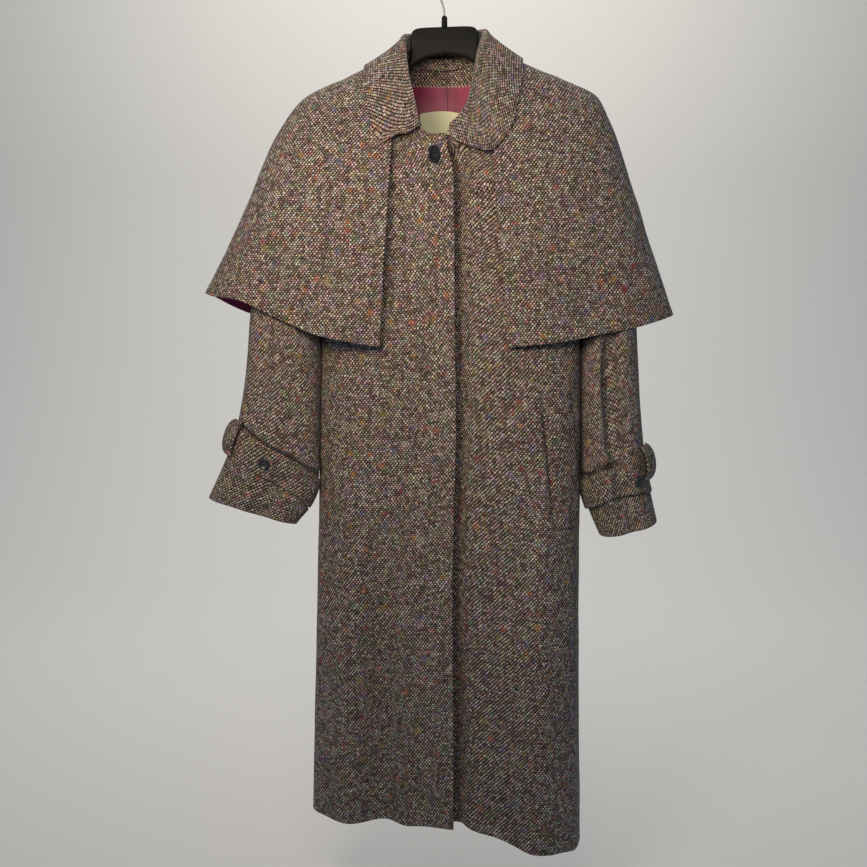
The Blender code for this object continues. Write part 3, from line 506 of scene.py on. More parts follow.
# The foot of the cape is drawn in towards the fronts, and further beside its two front edges
CAPE_DRAW_RIGHT = 15.0
CAPE_DRAW_LEFT = 8.0
CAPE_DRAW_REACH = 190.0
CAPE_EDGE_DRAW_RIGHT = 11.0
CAPE_EDGE_DRAW_LEFT = 6.0
CAPE_EDGE_REACH = 45.0
CAPE_EDGE_DRAW_DOWN = (CAPE_TOP + 30, CAPE_LENGTH - 60)

# Extra rows near a cloth edge, in walls, which round it
EDGE_STEPS = np.array([0.0, 0.15, 0.5, 1.4])
EDGE_LEAST = 0.06

# How a piece is laid flat: points each way, steps, and the share of a thread's error mended in a step
CUT_POINTS = 17
CUT_STEPS = 900
CUT_PULL = 0.22

# The narrowest strip of cloth that is cut
LEAST_LENGTH = 1e-6

# Noises in the materials have a scale, and some a detail and a roughness too.
# A bump is its strength and its height in mm. A roughness is the noise's range and what it becomes.

# Tweed: rows of short light weft floats over a dark warp, with coloured flecks. THREAD is in mm
THREAD = 3.3
FLOAT_REPEAT = 1.56
FLOAT_STEP = 0.805
FLOAT_LEAN = 0.35
FLOAT_SHARE = 0.74
THREAD_WANDER = 1.0
FLECK_WANDER = 15.0
WANDER_NOISE = 0.28
MELANGE_NOISE = 0.12
MELANGE_SHARE = 0.45
WEFT_SHOWS = (0.10, 0.70)
TINT_NOISE = 0.085
TINT_GAIN = (0.9, 0.9, 0.9)
TINT_LEAST = (0.57, 0.55, 0.55)
FLECK_ON_WEFT = 0.60
TWEED_BUMP = (0.5, 0.8)
PALETTE = [
    (0.50, 0.150, 0.045),
    (0.46, 0.25, 0.050),
    (0.34, 0.035, 0.040),
    (0.10, 0.12, 0.30),
    (0.25, 0.17, 0.33),
    (0.10, 0.20, 0.17),
    (0.30, 0.27, 0.08),
    (0.45, 0.40, 0.36),
]
NUB = (0.80, 0.75, 0.67)
# Two sizes of flecks, and the pale nubs. A fleck is there in a cell whose chance is over least
Fleck = namedtuple("Fleck", "scale near far least strength salt")
FLECKS = [Fleck(0.060, 0.10, 0.54, 0.50, 0.66, 3.0), Fleck(0.115, 0.11, 0.27, 0.42, 1.0, 41.0)]
NUBS = Fleck(0.095, 0.06, 0.15, 0.70, 0.8, 87.0)
NUB_HEIGHT = 0.75
FLECK_SIZE_VARIES = 0.7
FLECK_SIZE_LEAST = 0.5
FLECK_SALT_SHARE = 0.7
# Each colour ramp's stops: a place and a colour
WEFT_STOPS = [
    (0.15, (0.11, 0.087, 0.074)),
    (0.40, (0.26, 0.215, 0.186)),
    (0.62, (0.43, 0.376, 0.338)),
    (0.85, (0.66, 0.605, 0.56)),
]
WARP_STOPS = [(0.30, (0.018, 0.012, 0.010)), (0.55, (0.032, 0.023, 0.018)), (0.75, (0.062, 0.045, 0.036))]
SATIN_STOPS = [(0.30, (0.165, 0.016, 0.056)), (0.52, (0.28, 0.029, 0.098)), (0.75, (0.37, 0.052, 0.145))]
SATIN_SEAM = (0.045, 0.008, 0.014)
SATIN_SEAM_X = 4.0
SATIN_SEAM_WIDTH = (0.2, 0.9)
SATIN_SEAM_SHARE = 0.75
SATIN_STRETCH = (1.0, 0.22, 1.0)
SATIN_NOISE = (0.035, 3.0)
SATIN_RIBS = 9.0
SATIN_RIB_HEIGHT = 0.04
SATIN_BUMP = (0.4, 0.6)
LABEL_STOPS = [(0.3, (0.90, 0.97, 0.62)), (0.7, (0.95, 0.98, 0.74))]
LABEL_RIB = (0.40, 0.41, 0.20)
LABEL_RIB_SHARE = 0.14
LABEL_THREAD = 0.55
LABEL_NOISE = (0.06, 3.0)
LABEL_BUMP = (0.5, 0.25)
HORN_MOTTLE = (160.0, 4.0, 0.6)
HORN_WEAR = (700.0, 3.0)
HORN_ROUGHNESS = (0.3, 0.7, 0.16, 0.30)
HORN_BUMP = (0.12, 0.3)
HORN_STOPS = [(0.35, (0.006, 0.006, 0.008)), (0.7, (0.024, 0.023, 0.026))]
PLASTIC_GRAIN = 1500.0
PLASTIC_STRETCH = (1.0, 1.0, 3.0)
PLASTIC_SCUFF = (42.0, 5.0, 0.65)
PLASTIC_ROUGHNESS = (0.3, 0.75, 0.48, 0.64)
PLASTIC_BUMP = (0.18, 0.2)
PLASTIC_STOPS = [(0.35, (0.005, 0.006, 0.005)), (0.75, (0.011, 0.012, 0.011))]
STEEL_TARNISH = (120.0, 4.0, 0.6)
STEEL_ROUGHNESS = (0.3, 0.7, 0.24, 0.40)
STEEL_STOPS = [(0.35, (0.24, 0.24, 0.25)), (0.7, (0.42, 0.42, 0.43))]
STITCH_COLOUR = (0.82, 0.66, 0.62)
BUTTONHOLE_COLOUR = (0.36, 0.22, 0.18)
# Near-black: painted shade in the buttonhole's slit, and also the real dark thread through the buttons
SLIT_SHADE_AND_THREAD_COLOUR = (0.016, 0.010, 0.008)
TWIST_NOISE = 900.0
TWIST_PLACES = (0.35, 0.65)
TWIST_DARK = 0.55
TWIST_BUMP = (0.5, 0.3)
TRIM_TONE = 0.94

# The stage, in metres: a pale floor that rises into a wall well behind the coat
FLOOR_Z = -1.52
FLOOR_FRONT = -5.0
WALL_Y = 3.6
COVE_RADIUS = 1.6
COVE_POINTS = 25
WALL_TOP = 3.2
STAGE_HALF = 6.0
STAGE_COLOUR = (0.60, 0.595, 0.575)
ROOM_COLOUR = (0.50, 0.73, 1.0, 1.0)
ROOM_STRENGTH = 0.30
# A soft warm key and a small fill level with the neck, and a wash on the wall behind, in metres and watts
LIGHTS = rows_of(
    "name place target size watts colour",
    ("key", (-0.42, -1.05, -0.12), (0.0, 0.0, 0.14), 0.5, 11.6, (1.0, 0.79, 0.58)),
    ("fill", (0.0, -1.2, -0.20), (0.0, 0.0, 0.15), 0.3, 5.2, (1.0, 0.81, 0.62)),
    ("wall_wash", (0.0, 1.2, 1.9), (0.0, 3.4, -0.6), 2.4, 105.0, (1.0, 0.92, 0.83)),
)

# The camera stands level with the coat's middle and looks a little down
CAMERA_PLACE = (-0.0168, -1.8, -0.507)
CAMERA_DOWN = 0.11822
CAMERA_LENS = 47.04
CAMERA_SENSOR = 36.0

Paint = namedtuple("Paint", "tweed trim satin back_satin label thread buttonhole slit horn plastic steel")


def slopes(x, y):
    """Slopes at the table's points for a smooth curve that never overshoots between two rows."""
    step = np.diff(x)
    rise = np.diff(y, axis=0) / step[:, None]
    inner = np.zeros_like(y)
    same = rise[1:] * rise[:-1] > 0
    share = (2 * step[1:] + step[:-1])[:, None]
    other = (step[1:] + 2 * step[:-1])[:, None]
    with np.errstate(divide="ignore", invalid="ignore"):
        mean = (share + other) / (share / rise[:-1] + other / rise[1:])
    inner[1:-1] = np.where(same, mean, 0.0)
    inner[0] = rise[0]
    inner[-1] = rise[-1]
    return inner


def smooth(x, y, at):
    """A smooth curve through the rows of y at x, read at the values in at."""
    x = np.asarray(x, float)
    y = np.asarray(y, float)
    flat = y.reshape(len(x), -1)
    slope = slopes(x, flat)
    at = np.asarray(at, float)
    i = np.clip(np.searchsorted(x, at.ravel(), side="right") - 1, 0, len(x) - 2)
    h = (x[i + 1] - x[i])[:, None]
    u = (at.ravel() - x[i])[:, None] / h
    first = flat[i] * (1 + 2 * u) * (1 - u) ** 2 + flat[i + 1] * u**2 * (3 - 2 * u)
    second = slope[i] * h * u * (1 - u) ** 2 + slope[i + 1] * h * u**2 * (u - 1)
    return (first + second).reshape(at.shape + y.shape[1:])


def ease(value, start, full):
    u = np.clip((value - start) / (full - start), 0.0, 1.0)
    return u * u * (3 - 2 * u)


def hump(value, middle, width):
    return np.exp(-(((value - middle) / width) ** 2))


def power(value, square):
    """One axis of a rounded box: a circle at 2, squarer above it."""
    return np.sign(value) * np.abs(value) ** (2.0 / square)


def columns(table, down):
    """Each column of a table after its first, read at the given ways down."""
    values = np.array([row[1:] for row in table], float)
    read = smooth([row[0] for row in table], values, down)
    return dict(zip(table[0]._fields[1:], np.moveaxis(read, -1, 0)))


def section_height(c, cosine, sine, front_drop=2.0, back_drop=2.0):
    """Height round a section. A larger drop gives a flatter front or back, as a U-shaped neckline has."""
    side = np.where(cosine < 0, c["right_z"], c["left_z"])
    face = np.where(sine > 0, c["front_z"], c["back_z"])
    share = np.abs(cosine) ** np.where(sine > 0, front_drop, back_drop)
    return side * share + face * (1 - share)


def body(angle, down):
    """The body's outer surface. Angle is 0 at the left side, pi/2 at the front, pi at the right side."""
    c = columns(BODY, down)
    cosine = np.cos(angle)
    sine = np.sin(angle)
    across = power(cosine, c["square"])
    x = np.where(cosine < 0, c["right"], c["left"]) * across
    y = -np.where(sine > 0, c["front"], c["back"]) * power(sine, c["square"])
    for fold in BODY_FOLDS:
        face = np.clip(sine if fold.face == "front" else -sine, 0, 1)
        inward = 1 if fold.face == "front" else -1
        y = y + inward * fold.depth * hump(across, fold.across, fold.width) * face**0.5 * ease(
            down, fold.start, fold.full
        )
    turn = np.radians(c["twist"])
    lift = np.interp(x, HEM_X, HEM_LIFT) * np.clip(sine, 0, 1)
    height = section_height(c, cosine, sine, BODY_FRONT_DROP)
    return np.stack(
        [
            c["mid_x"] + x * np.cos(turn) + y * np.sin(turn),
            c["mid_y"] - x * np.sin(turn) + y * np.cos(turn),
            height + lift * ease(down, HEM_LIFT_START, BODY_LENGTH),
        ],
        axis=-1,
    )


def front_edge_x(down):
    return np.interp(down, FRONT_EDGE_DOWN, FRONT_EDGE_X)


def under_front(angle, down):
    """The body's surface set in where the left front goes under the right one."""
    point = body(angle, down)
    inset = UNDER_FRONT_INSET * (1 - ease(point[..., 0] - front_edge_x(down), *UNDER_FRONT_EASE))
    return point - normal(body, angle, down) * inset[..., None]


def cape(angle, down):
    """The cape's outer surface, with the body's angles."""
    c = columns(CAPE, down)
    right_drop = 2.0 + (CAPE_RIGHT_BACK_DROP - 2.0) * ease(down, CAPE_BACK_DROP_START, CAPE_LENGTH)
    cosine = np.cos(angle)
    sine = np.sin(angle)
    wave = 0.0
    for fold in CAPE_FOLDS:
        wave = wave - fold.depth * hump(np.degrees(angle), fold.angle, fold.width) * ease(
            down, fold.start, fold.full
        )
    x = np.where(cosine < 0, c["right"], c["left"]) * power(cosine, c["square"])
    y = -np.where(sine > 0, c["front"], c["back"]) * power(sine, c["square"])
    return np.stack(
        [
            x + wave * cosine,
            CAPE_SHIFT_Y + y - wave * sine,
            section_height(c, cosine, sine, back_drop=np.where(cosine < 0, right_drop, 2.0)),
        ],
        axis=-1,
    )


def tipped_cape(angle, down):
    """The cape's right front, with its foot drawn up beside the tip."""
    lift = CAPE_TIP_LIFT * hump(np.degrees(angle), *CAPE_TIP_ANGLE)
    return cape(angle, down - lift * ease(down, CAPE_LENGTH - CAPE_TIP_REACH, CAPE_LENGTH))


def armhole(angle, side):
    """A point of the sleeve head, just inside the armhole. Angle is 0 at the shoulder, pi/2 in front."""
    middle = (ARMHOLE_TOP + ARMHOLE_FOOT) / 2
    reach = (ARMHOLE_FOOT - ARMHOLE_TOP) / 2 - SLEEVE_HEAD_INSET
    share = reach / (reach + SLEEVE_HEAD_INSET)
    width = np.where(np.sin(angle) > 0, ARMHOLE_FRONT, ARMHOLE_BACK) * share
    at_side = np.pi if side == "right" else 0.0
    turn = -1 if side == "right" else 1
    return body(at_side + turn * width * np.sin(angle), middle - reach * np.cos(angle))


def sleeve_surface(table, folds, side):
    """The surface of one sleeve, over angle and the way down."""
    downs = [0.0] + [row.down for row in table]
    lean = -1 if side == "right" else 1

    def section(row, angle):
        across = (power(np.cos(angle), row.square) + 1) / 2
        depth = np.where(np.sin(angle) > 0, row.front, row.back)
        return np.stack(
            [
                row.inner_x + (row.outer_x - row.inner_x) * across,
                row.mid_y - depth * power(np.sin(angle), row.square),
                row.inner_z + (row.outer_z - row.inner_z) * across,
            ],
            axis=-1,
        )

    def surface(angle, down):
        rings = np.stack([armhole(angle, side)] + [section(row, angle) for row in table])
        flat_rings = rings.reshape(len(downs), -1, 3)
        flat_down = np.ravel(down)
        point = np.empty((flat_down.size, 3))
        for value in np.unique(flat_down):
            at = flat_down == value
            point[at] = smooth(downs, flat_rings[:, at], np.array([value]))[0]
        point = point.reshape(np.shape(angle) + (3,))
        for fold in folds:
            grow = ease(down, fold.start, fold.full) * (1 - FOLD_FADE * ease(down, fold.full, fold.end))
            push = fold.depth * hump(np.degrees(angle) % 360, fold.angle, fold.width) * grow
            point[..., 0] -= push * np.cos(angle) * lean
            point[..., 1] += push * np.sin(angle)
        return point

    return surface


def normal(surface, angle, down):
    """Unit normals of a surface, pointing out of the cloth."""
    along = surface(angle + ANGLE_STEP, down) - surface(angle - ANGLE_STEP, down)
    downs = surface(angle, down + DOWN_STEP) - surface(angle, down - DOWN_STEP)
    cross = np.cross(along, downs)
    return cross / np.linalg.norm(cross, axis=-1, keepdims=True)


def sleeve_normal(surface, side):
    """Unit normals of a sleeve. A right sleeve's angle runs the other way round."""
    turn = -1 if side == "right" else 1

    def unit(angle, down):
        return turn * normal(surface, angle, down)

    return unit


def crease_push(point, unit, creases, face):
    """How far creases push the cloth out, in mm. face is -1 for those seen from in front, 1 from behind."""
    facing = np.clip(unit[..., 1] * face, 0, 1) ** 0.5
    total = np.zeros(point.shape[:-1])
    for crease in creases:
        top = np.array([crease.top_x, crease.top_z], float)
        run = np.array([crease.foot_x, crease.foot_z], float) - top
        length = np.hypot(*run)
        x = point[..., 0] - top[0]
        z = point[..., 2] - top[1]
        along = np.clip((x * run[0] + z * run[1]) / length**2, 0, 1)
        taper = np.sin(np.pi * along)
        away = (x * run[1] - z * run[0]) / length
        total -= crease.depth * hump(away, -crease.bow * taper, crease.width) * taper
    return total * facing


def uneven(point):
    """The slight waviness that no cloth is without."""
    total = 0.0
    for wave in UNEVEN:
        phase = point[..., 0] / wave.along_x + point[..., 2] / wave.along_z
        total = total + wave.height * np.sin(2 * np.pi * phase + wave.shift)
    return total


def body_push(point, unit, down):
    front = crease_push(point, unit, BODY_FRONT_CREASES, -1)
    behind = crease_push(point, unit, BODY_BACK_CREASES, 1)
    sides = ease(np.abs(unit[..., 0]), *SIDE_FACING) * hump(point[..., 2], *SIDE_BULGE_Z)
    front = front + SIDE_BULGE * sides
    return front + behind + uneven(point) * np.abs(unit[..., 1]) ** 0.5


def over_front_push(point, unit, down):
    lift, reach = FRONT_EDGE_LIFT
    away = front_edge_x(down) - point[..., 0]
    return body_push(point, unit, down) + lift * hump(away, 0.0, reach)


def under_front_push(point, unit, down):
    dip, reach = UNDER_FRONT_DIP
    grooves = crease_push(point, unit, WELT_GROOVES, -1)
    away = np.maximum(point[..., 0] - front_edge_x(down), 0.0)
    dip = dip * ease(down, *UNDER_FRONT_DIP_DOWN)
    return body_push(point, unit, down) + grooves - dip * hump(away, 0.0, reach)


def cape_push(point, unit, down):
    front = crease_push(point, unit, CAPE_FRONT_CREASES, -1)
    behind = crease_push(point, unit, CAPE_BACK_CREASES, 1)
    facing = np.clip(-unit[..., 1], 0, 1) ** 2
    drawn = np.where(point[..., 0] < 0, CAPE_DRAW_RIGHT, CAPE_DRAW_LEFT)
    drawn = drawn * facing * ease(down, CAPE_LENGTH - CAPE_DRAW_REACH, CAPE_LENGTH)
    edges = ((CAPE_RIGHT_EDGE_X, CAPE_EDGE_DRAW_RIGHT), (CAPE_LEFT_EDGE_X, CAPE_EDGE_DRAW_LEFT))
    for edge_x, draw in edges:
        away = point[..., 0] - np.interp(down, CAPE_EDGE_DOWN, edge_x)
        near = hump(away, 0.0, CAPE_EDGE_REACH) * facing
        drawn = drawn + draw * near * ease(down, *CAPE_EDGE_DRAW_DOWN)
    return front + behind + uneven(point) - drawn


def length_along(point, axis):
    """The way along a grid's rows or columns, from its first point."""
    step = np.linalg.norm(np.diff(point, axis=axis), axis=-1)
    start = np.zeros_like(np.take(step, [0], axis=axis))
    return np.concatenate([start, np.cumsum(step, axis=axis)], axis=axis)


def length_down(point):
    """The way down a grid's columns, leaving out any step that a column takes along its row."""
    along = np.gradient(point, axis=1)
    along = along[1:] + along[:-1]
    along /= np.linalg.norm(along, axis=-1, keepdims=True)
    step = np.diff(point, axis=0)
    step = step - (step * along).sum(axis=-1, keepdims=True) * along
    length = np.cumsum(np.linalg.norm(step, axis=-1), axis=0)
    return np.concatenate([np.zeros_like(length[:1]), length])


def spaced(length, count, wall):
    """Places along a length: even ones, and a few close to each end, where the cloth's edge is rounded."""
    near = EDGE_STEPS * wall
    middle = np.linspace(near[-1], length - near[-1], count)[1:-1]
    return np.concatenate([near, middle, length - near[::-1]])


def grid_quads(rows, cols, ring):
    """The corners of a grid's quads, as points and as UV points, which don't join up round a ring."""
    last = cols if ring else cols - 1
    i, j = (k.ravel() for k in np.meshgrid(np.arange(rows - 1), np.arange(last), indexing="ij"))
    after = (j + 1) % cols
    points = np.stack([i * cols + j, (i + 1) * cols + j, (i + 1) * cols + after, i * cols + after], axis=1)
    wide = last + 1
    uvs = np.stack([i * wide + j, (i + 1) * wide + j, (i + 1) * wide + j + 1, i * wide + j + 1], axis=1)
    return points, uvs


def rim_points(rows, cols, ring):
    """Pairs of neighbouring points along each edge of a grid."""
    top = np.arange(cols)
    foot = top + (rows - 1) * cols
    if ring:
        return np.concatenate(
            [np.stack([top, np.roll(top, -1)], axis=1), np.stack([np.roll(foot, -1), foot], axis=1)]
        )
    first = np.arange(rows) * cols
    last = first + cols - 1
    edges = [top, last, foot[::-1], first[::-1]]
    return np.concatenate([np.stack([edge[:-1], edge[1:]], axis=1) for edge in edges])


def add_object(name, data):
    made = bpy.data.objects.new(name, data)
    bpy.context.scene.collection.objects.link(made)
    return made


def add_mesh(name, mesh, paints):
    """Puts a mesh in the scene, shaded smooth and with its materials."""
    mesh.shade_smooth()
    for paint in paints:
        mesh.materials.append(paint)
    return add_object(name, mesh)


def quad_object(name, points, corners, corner_uvs, paint_index, paints):
    """A mesh of quads, from arrays. Points are in mm and UVs in metres."""
    mesh = bpy.data.meshes.new(name)
    mesh.vertices.add(len(points))
    mesh.vertices.foreach_set("co", (points * MM).ravel())
    mesh.loops.add(corners.size)
    mesh.loops.foreach_set("vertex_index", corners.ravel().astype(np.int32))
    mesh.polygons.add(len(corners))
    mesh.polygons.foreach_set("loop_start", np.arange(0, corners.size, 4, dtype=np.int32))
    mesh.polygons.foreach_set("material_index", paint_index.astype(np.int32))
    layer = mesh.uv_layers.new(name="cloth")
    layer.data.foreach_set("uv", (corner_uvs * MM).ravel().astype(np.float32))
    mesh.update(calc_edges=True)
    return add_mesh(name, mesh, paints)


def coarse_places(lengths):
    """A few evenly spread places along a grid, of all those whose mean way along is given."""
    wanted = np.linspace(0, lengths[-1], CUT_POINTS)
    return np.unique([np.abs(lengths - length).argmin() for length in wanted])


def flat_cut(point, start):
    """The flat piece that a grid is cut from: its threads keep their lengths as they settle flat."""
    down = length_along(point, 0)
    across = length_along(point, 1)
    rows = coarse_places(down.mean(axis=1))
    cols = coarse_places(across.mean(axis=0))
    hung = point[np.ix_(rows, cols)]
    flat = start[np.ix_(rows, cols)].copy()
    whole, first, last = slice(None), slice(None, -1), slice(1, None)
    ties = [
        ((whole, first), (whole, last)),
        ((first, whole), (last, whole)),
        ((first, first), (last, last)),
        ((first, last), (last, first)),
    ]
    lengths = [np.linalg.norm(hung[a] - hung[b], axis=-1) for a, b in ties]
    for _ in range(CUT_STEPS):
        for (a, b), length in zip(ties, lengths):
            way = flat[b] - flat[a]
            now = np.maximum(np.linalg.norm(way, axis=-1), LEAST_LENGTH)
            pull = CUT_PULL * way * ((now - length) / now)[..., None]
            flat[a] += pull
            flat[b] -= pull
    filled = []
    for k in range(2):
        by_row = [np.interp(down[:, col], down[rows, col], flat[:, n, k]) for n, col in enumerate(cols)]
        by_row = np.stack(by_row, axis=1)
        filled.append(np.stack([np.interp(way, way[cols], row) for way, row in zip(across, by_row)]))
    return np.stack(filled, axis=-1)


def collar_cut(point, fold):
    """A collar's flat cut: its columns are straight lines from the fold, and spread as its edge does."""
    down = length_along(point, 0)
    away = down - down[fold]
    step = np.linalg.norm(np.diff(point, axis=1), axis=-1)
    reach = np.maximum((away[-1, 1:] + away[-1, :-1]) / 2, COLLAR_LEAST_REACH)
    turn = np.concatenate([[0.0], np.cumsum((step[-1] - step[fold]) / reach)])
    turn -= turn[len(turn) // 2]
    half_way = (turn[1:] + turn[:-1]) / 2
    moves = step[fold][:, None] * np.stack([np.cos(half_way), np.sin(half_way)], axis=-1)
    start = np.concatenate([np.zeros((1, 2)), np.cumsum(moves, axis=0)])
    start -= start[len(start) // 2]
    line = np.stack([np.sin(turn), -np.cos(turn)], axis=-1)
    return start + away[..., None] * line


def cloth_uvs(point, unit, grain, ring, fanned, fold):
    """The cloth's own threads in mm: across from the grain line and up from the foot, or on a flat cut."""
    if fold:
        return collar_cut(point, fold)
    if ring:
        point = np.concatenate([point, point[:, :1]], axis=1)
    rows, cols = point.shape[:2]
    middle = int(round(grain * (cols - 1)))
    across = length_along(point, 1)
    across = across - across[:, middle : middle + 1]
    down = length_down(point)
    i, j = rows // 2, min(cols // 2, unit.shape[1] - 2)
    up = point[i - 1, j] - point[i, j]
    across = across * np.sign(np.dot(point[i, j + 1] - point[i, j], np.cross(up, unit[i, j])))
    if ring:
        across = np.broadcast_to(across.mean(axis=0), across.shape)
    if not fanned:
        return np.stack([across, down[-1:] - down], axis=-1)
    flat = flat_cut(point, np.stack([across, point[..., 2]], axis=-1))
    run = flat[0, middle] - flat[-1, middle]
    run = run / np.linalg.norm(run)
    turned = np.stack([flat @ np.array([run[1], -run[0]]), flat @ run], axis=-1)
    return turned - turned[0, middle]


def edge_rounding(point, wall, ring):
    """How far each face draws in near the cloth's edges, so that they are round."""
    radius = wall / 2
    down = length_along(point, 0)
    away = np.minimum(down, down[-1:] - down)
    if not ring:
        across = length_along(point, 1)
        away = np.minimum(away, np.minimum(across, across[:, -1:] - across))
    short = np.clip(radius - away, 0, radius)
    return np.minimum(radius - np.sqrt(radius**2 - short**2), radius - EDGE_LEAST * wall)


def shell(name, point, unit, wall, paints, held, rests_on=(), grain=0.5, ring=False, fanned=False, fold=0):
    """A closed thin shell of cloth. Its outer face is at point."""
    rows, cols = point.shape[:2]
    draw_in = edge_rounding(point, wall, ring)[..., None]
    outer = point - unit * draw_in
    inner = point - unit * (wall - draw_in)
    corners, uv_corners = grid_quads(rows, cols, ring)
    rim = rim_points(rows, cols, ring)
    behind = rows * cols
    every = np.concatenate(
        [
            corners,
            corners[:, ::-1] + behind,
            np.stack([rim[:, 0], rim[:, 1], rim[:, 1] + behind, rim[:, 0] + behind], axis=1),
        ]
    )
    uvs = cloth_uvs(point, unit, grain, ring, fanned, fold)
    flat_uvs = uvs.reshape(-1, 2)
    edge_uvs = uvs[:, :cols].reshape(-1, 2)
    corner_uvs = np.concatenate(
        [
            flat_uvs[uv_corners],
            flat_uvs[uv_corners[:, ::-1]],
            edge_uvs[np.stack([rim[:, 0], rim[:, 1], rim[:, 1], rim[:, 0]], axis=1)],
        ]
    )
    faces_in = np.dot(np.cross(point[1, 0] - point[0, 0], point[0, 1] - point[0, 0]), unit[0, 0]) < 0
    if faces_in:
        every = every[:, ::-1]
        corner_uvs = corner_uvs[:, ::-1]
    paint_index = np.zeros(len(every), int)
    paint_index[len(corners) : 2 * len(corners)] = len(paints) - 1
    points = np.concatenate([outer.reshape(-1, 3), inner.reshape(-1, 3)])
    made = quad_object(name, points, every, corner_uvs, paint_index, paints)
    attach(made, ROOT)
    return made


def arc_angles(surface, down, first, last, count, wall):
    """Angles along a row of a surface, even by length, closer at both ends, with room for the seams."""
    fine = np.linspace(first, last, FINE)
    length = length_along(surface(fine, np.full_like(fine, down)), 0)
    places = SEAM_GAP / 2 + spaced(length[-1] - SEAM_GAP, count, wall)
    return np.interp(places, length, fine)


def panel(name, surface, span, edges, size, paints, push, held, depth=0.0, wall=CLOTH_WALL, **how):
    """A cloth panel on a surface: span is its top and foot, edges its sides, size its rows and columns."""
    downs = span[0] + spaced(span[1] - span[0], size[0], wall)
    angles = np.array([arc_angles(surface, d, edges[0](d), edges[1](d), size[1], wall) for d in downs])
    down = np.repeat(downs[:, None], angles.shape[1], axis=1)
    point = surface(angles, down)
    unit = normal(surface, angles, down)
    out = push(point, unit, down) - depth
    return shell(name, point + unit * out[..., None], unit, wall, paints, held, **how)


def lapped(surface, down, angle, way):
    """An angle moved on until the cloth laps its neighbour at a side seam."""
    fine = np.linspace(0.0, SIDE_LAP_ANGLE, SIDE_LAP_POINTS)
    length = length_along(surface(angle + way * fine, np.full_like(fine, down)), 0)
    return angle + way * np.interp(SIDE_LAP, length, fine)


def lapped_edges(surface, right, left):
    """A back's two side edges, which lap the fronts."""
    return (
        lambda down: lapped(surface, down, right(down), -1),
        lambda down: lapped(surface, down, left(down), 1),
    )


def angle_at_x(surface, down, x, face=FRONT_ANGLES):
    """The angle on the front or the back of a surface where its x has this value."""
    fine = np.linspace(*face, FINE)
    along = surface(fine, np.full_like(fine, down))[:, 0]
    way = np.sign(along[-1] - along[0])
    return np.interp(way * x, way * along, fine)


def front_edge_angle(down, shift=0.0):
    return angle_at_x(body, down, front_edge_x(down) + shift)


def armhole_width(down, widest):
    middle = (ARMHOLE_TOP + ARMHOLE_FOOT) / 2
    reach = (ARMHOLE_FOOT - ARMHOLE_TOP) / 2
    return widest * np.sqrt(max(0.0, 1 - ((down - middle) / reach) ** 2))


def front_right_side(down):
    return np.pi - armhole_width(down, ARMHOLE_FRONT)


def front_left_side(down):
    return armhole_width(down, ARMHOLE_FRONT)


def front_under_edge(down):
    return front_edge_angle(down, -OVERLAP)


def back_right_edge(down):
    return np.pi + armhole_width(down, ARMHOLE_BACK)


def back_left_edge(down):
    return 2 * np.pi - armhole_width(down, ARMHOLE_BACK)


def back_angle_at_x(down, x):
    return angle_at_x(body, down, x, BACK_ANGLES)


def back_strip(middle, half):
    """The two side edges of a strip on the inside of the back."""
    return (
        lambda down: back_angle_at_x(down, middle - half),
        lambda down: back_angle_at_x(down, middle + half),
    )


def cape_right_edge(down):
    return angle_at_x(cape, down, np.interp(down, CAPE_EDGE_DOWN, CAPE_RIGHT_EDGE_X))


def cape_left_edge(down):
    return angle_at_x(cape, down, np.interp(down, CAPE_EDGE_DOWN, CAPE_LEFT_EDGE_X))


def stand_for(made, slot, *nodes):
    """Hides the solids that a piece is shown in place of, and hands the piece back; slot, its finish, is
    not used.
    """
    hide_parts(*nodes)
    return made


def make_body(paint):
    """The coat's two fronts and its back, each one cloth from the neck to the hem."""
    cloth = (paint.tweed, paint.satin)
    pieces = [
        (
            "front_right", body, (front_edge_angle, front_right_side), FRONT_RIGHT_COLUMNS,
            cloth, over_front_push, 0.0,
        ),
        (
            "front_left", under_front, (front_left_side, front_under_edge), FRONT_LEFT_COLUMNS,
            cloth, under_front_push, 1.0,
        ),
        (
            "back", body, lapped_edges(body, back_right_edge, back_left_edge), BACK_COLUMNS,
            (paint.tweed,), body_push, 0.5,
        ),
    ]
    for name, surface, edges, wide, paints, push, grain in pieces:
        made = panel(
            f"coat_{name}", surface, (0.0, BODY_LENGTH), edges, (BODY_ROWS, wide), paints, push,
            "hung", rests_on=["hanger_body"], grain=grain,
        )
        stand_for(made, "tweed", *[f"{name}_{band}" for band in BAND_NAMES])


def label_surface(angle, down):
    """The back, drawn down towards the label's sides so that its top is a low arch."""
    away = (body(angle, down)[..., 0] - LABEL_MIDDLE_X) / LABEL_HALF_WIDTH
    return body(angle, down + LABEL_ARCH * away**2)


def loop_push(point, unit, down):
    """The hanging loop bows off the facing along its lower edge."""
    away = point[..., 0] / LOOP_NECK_HALF
    bow = LOOP_NECK_BOW * np.clip(1 - away**2, 0, 1) * ease(down, *LOOP_NECK_DOWN)
    return body_push(point, unit, down) - bow


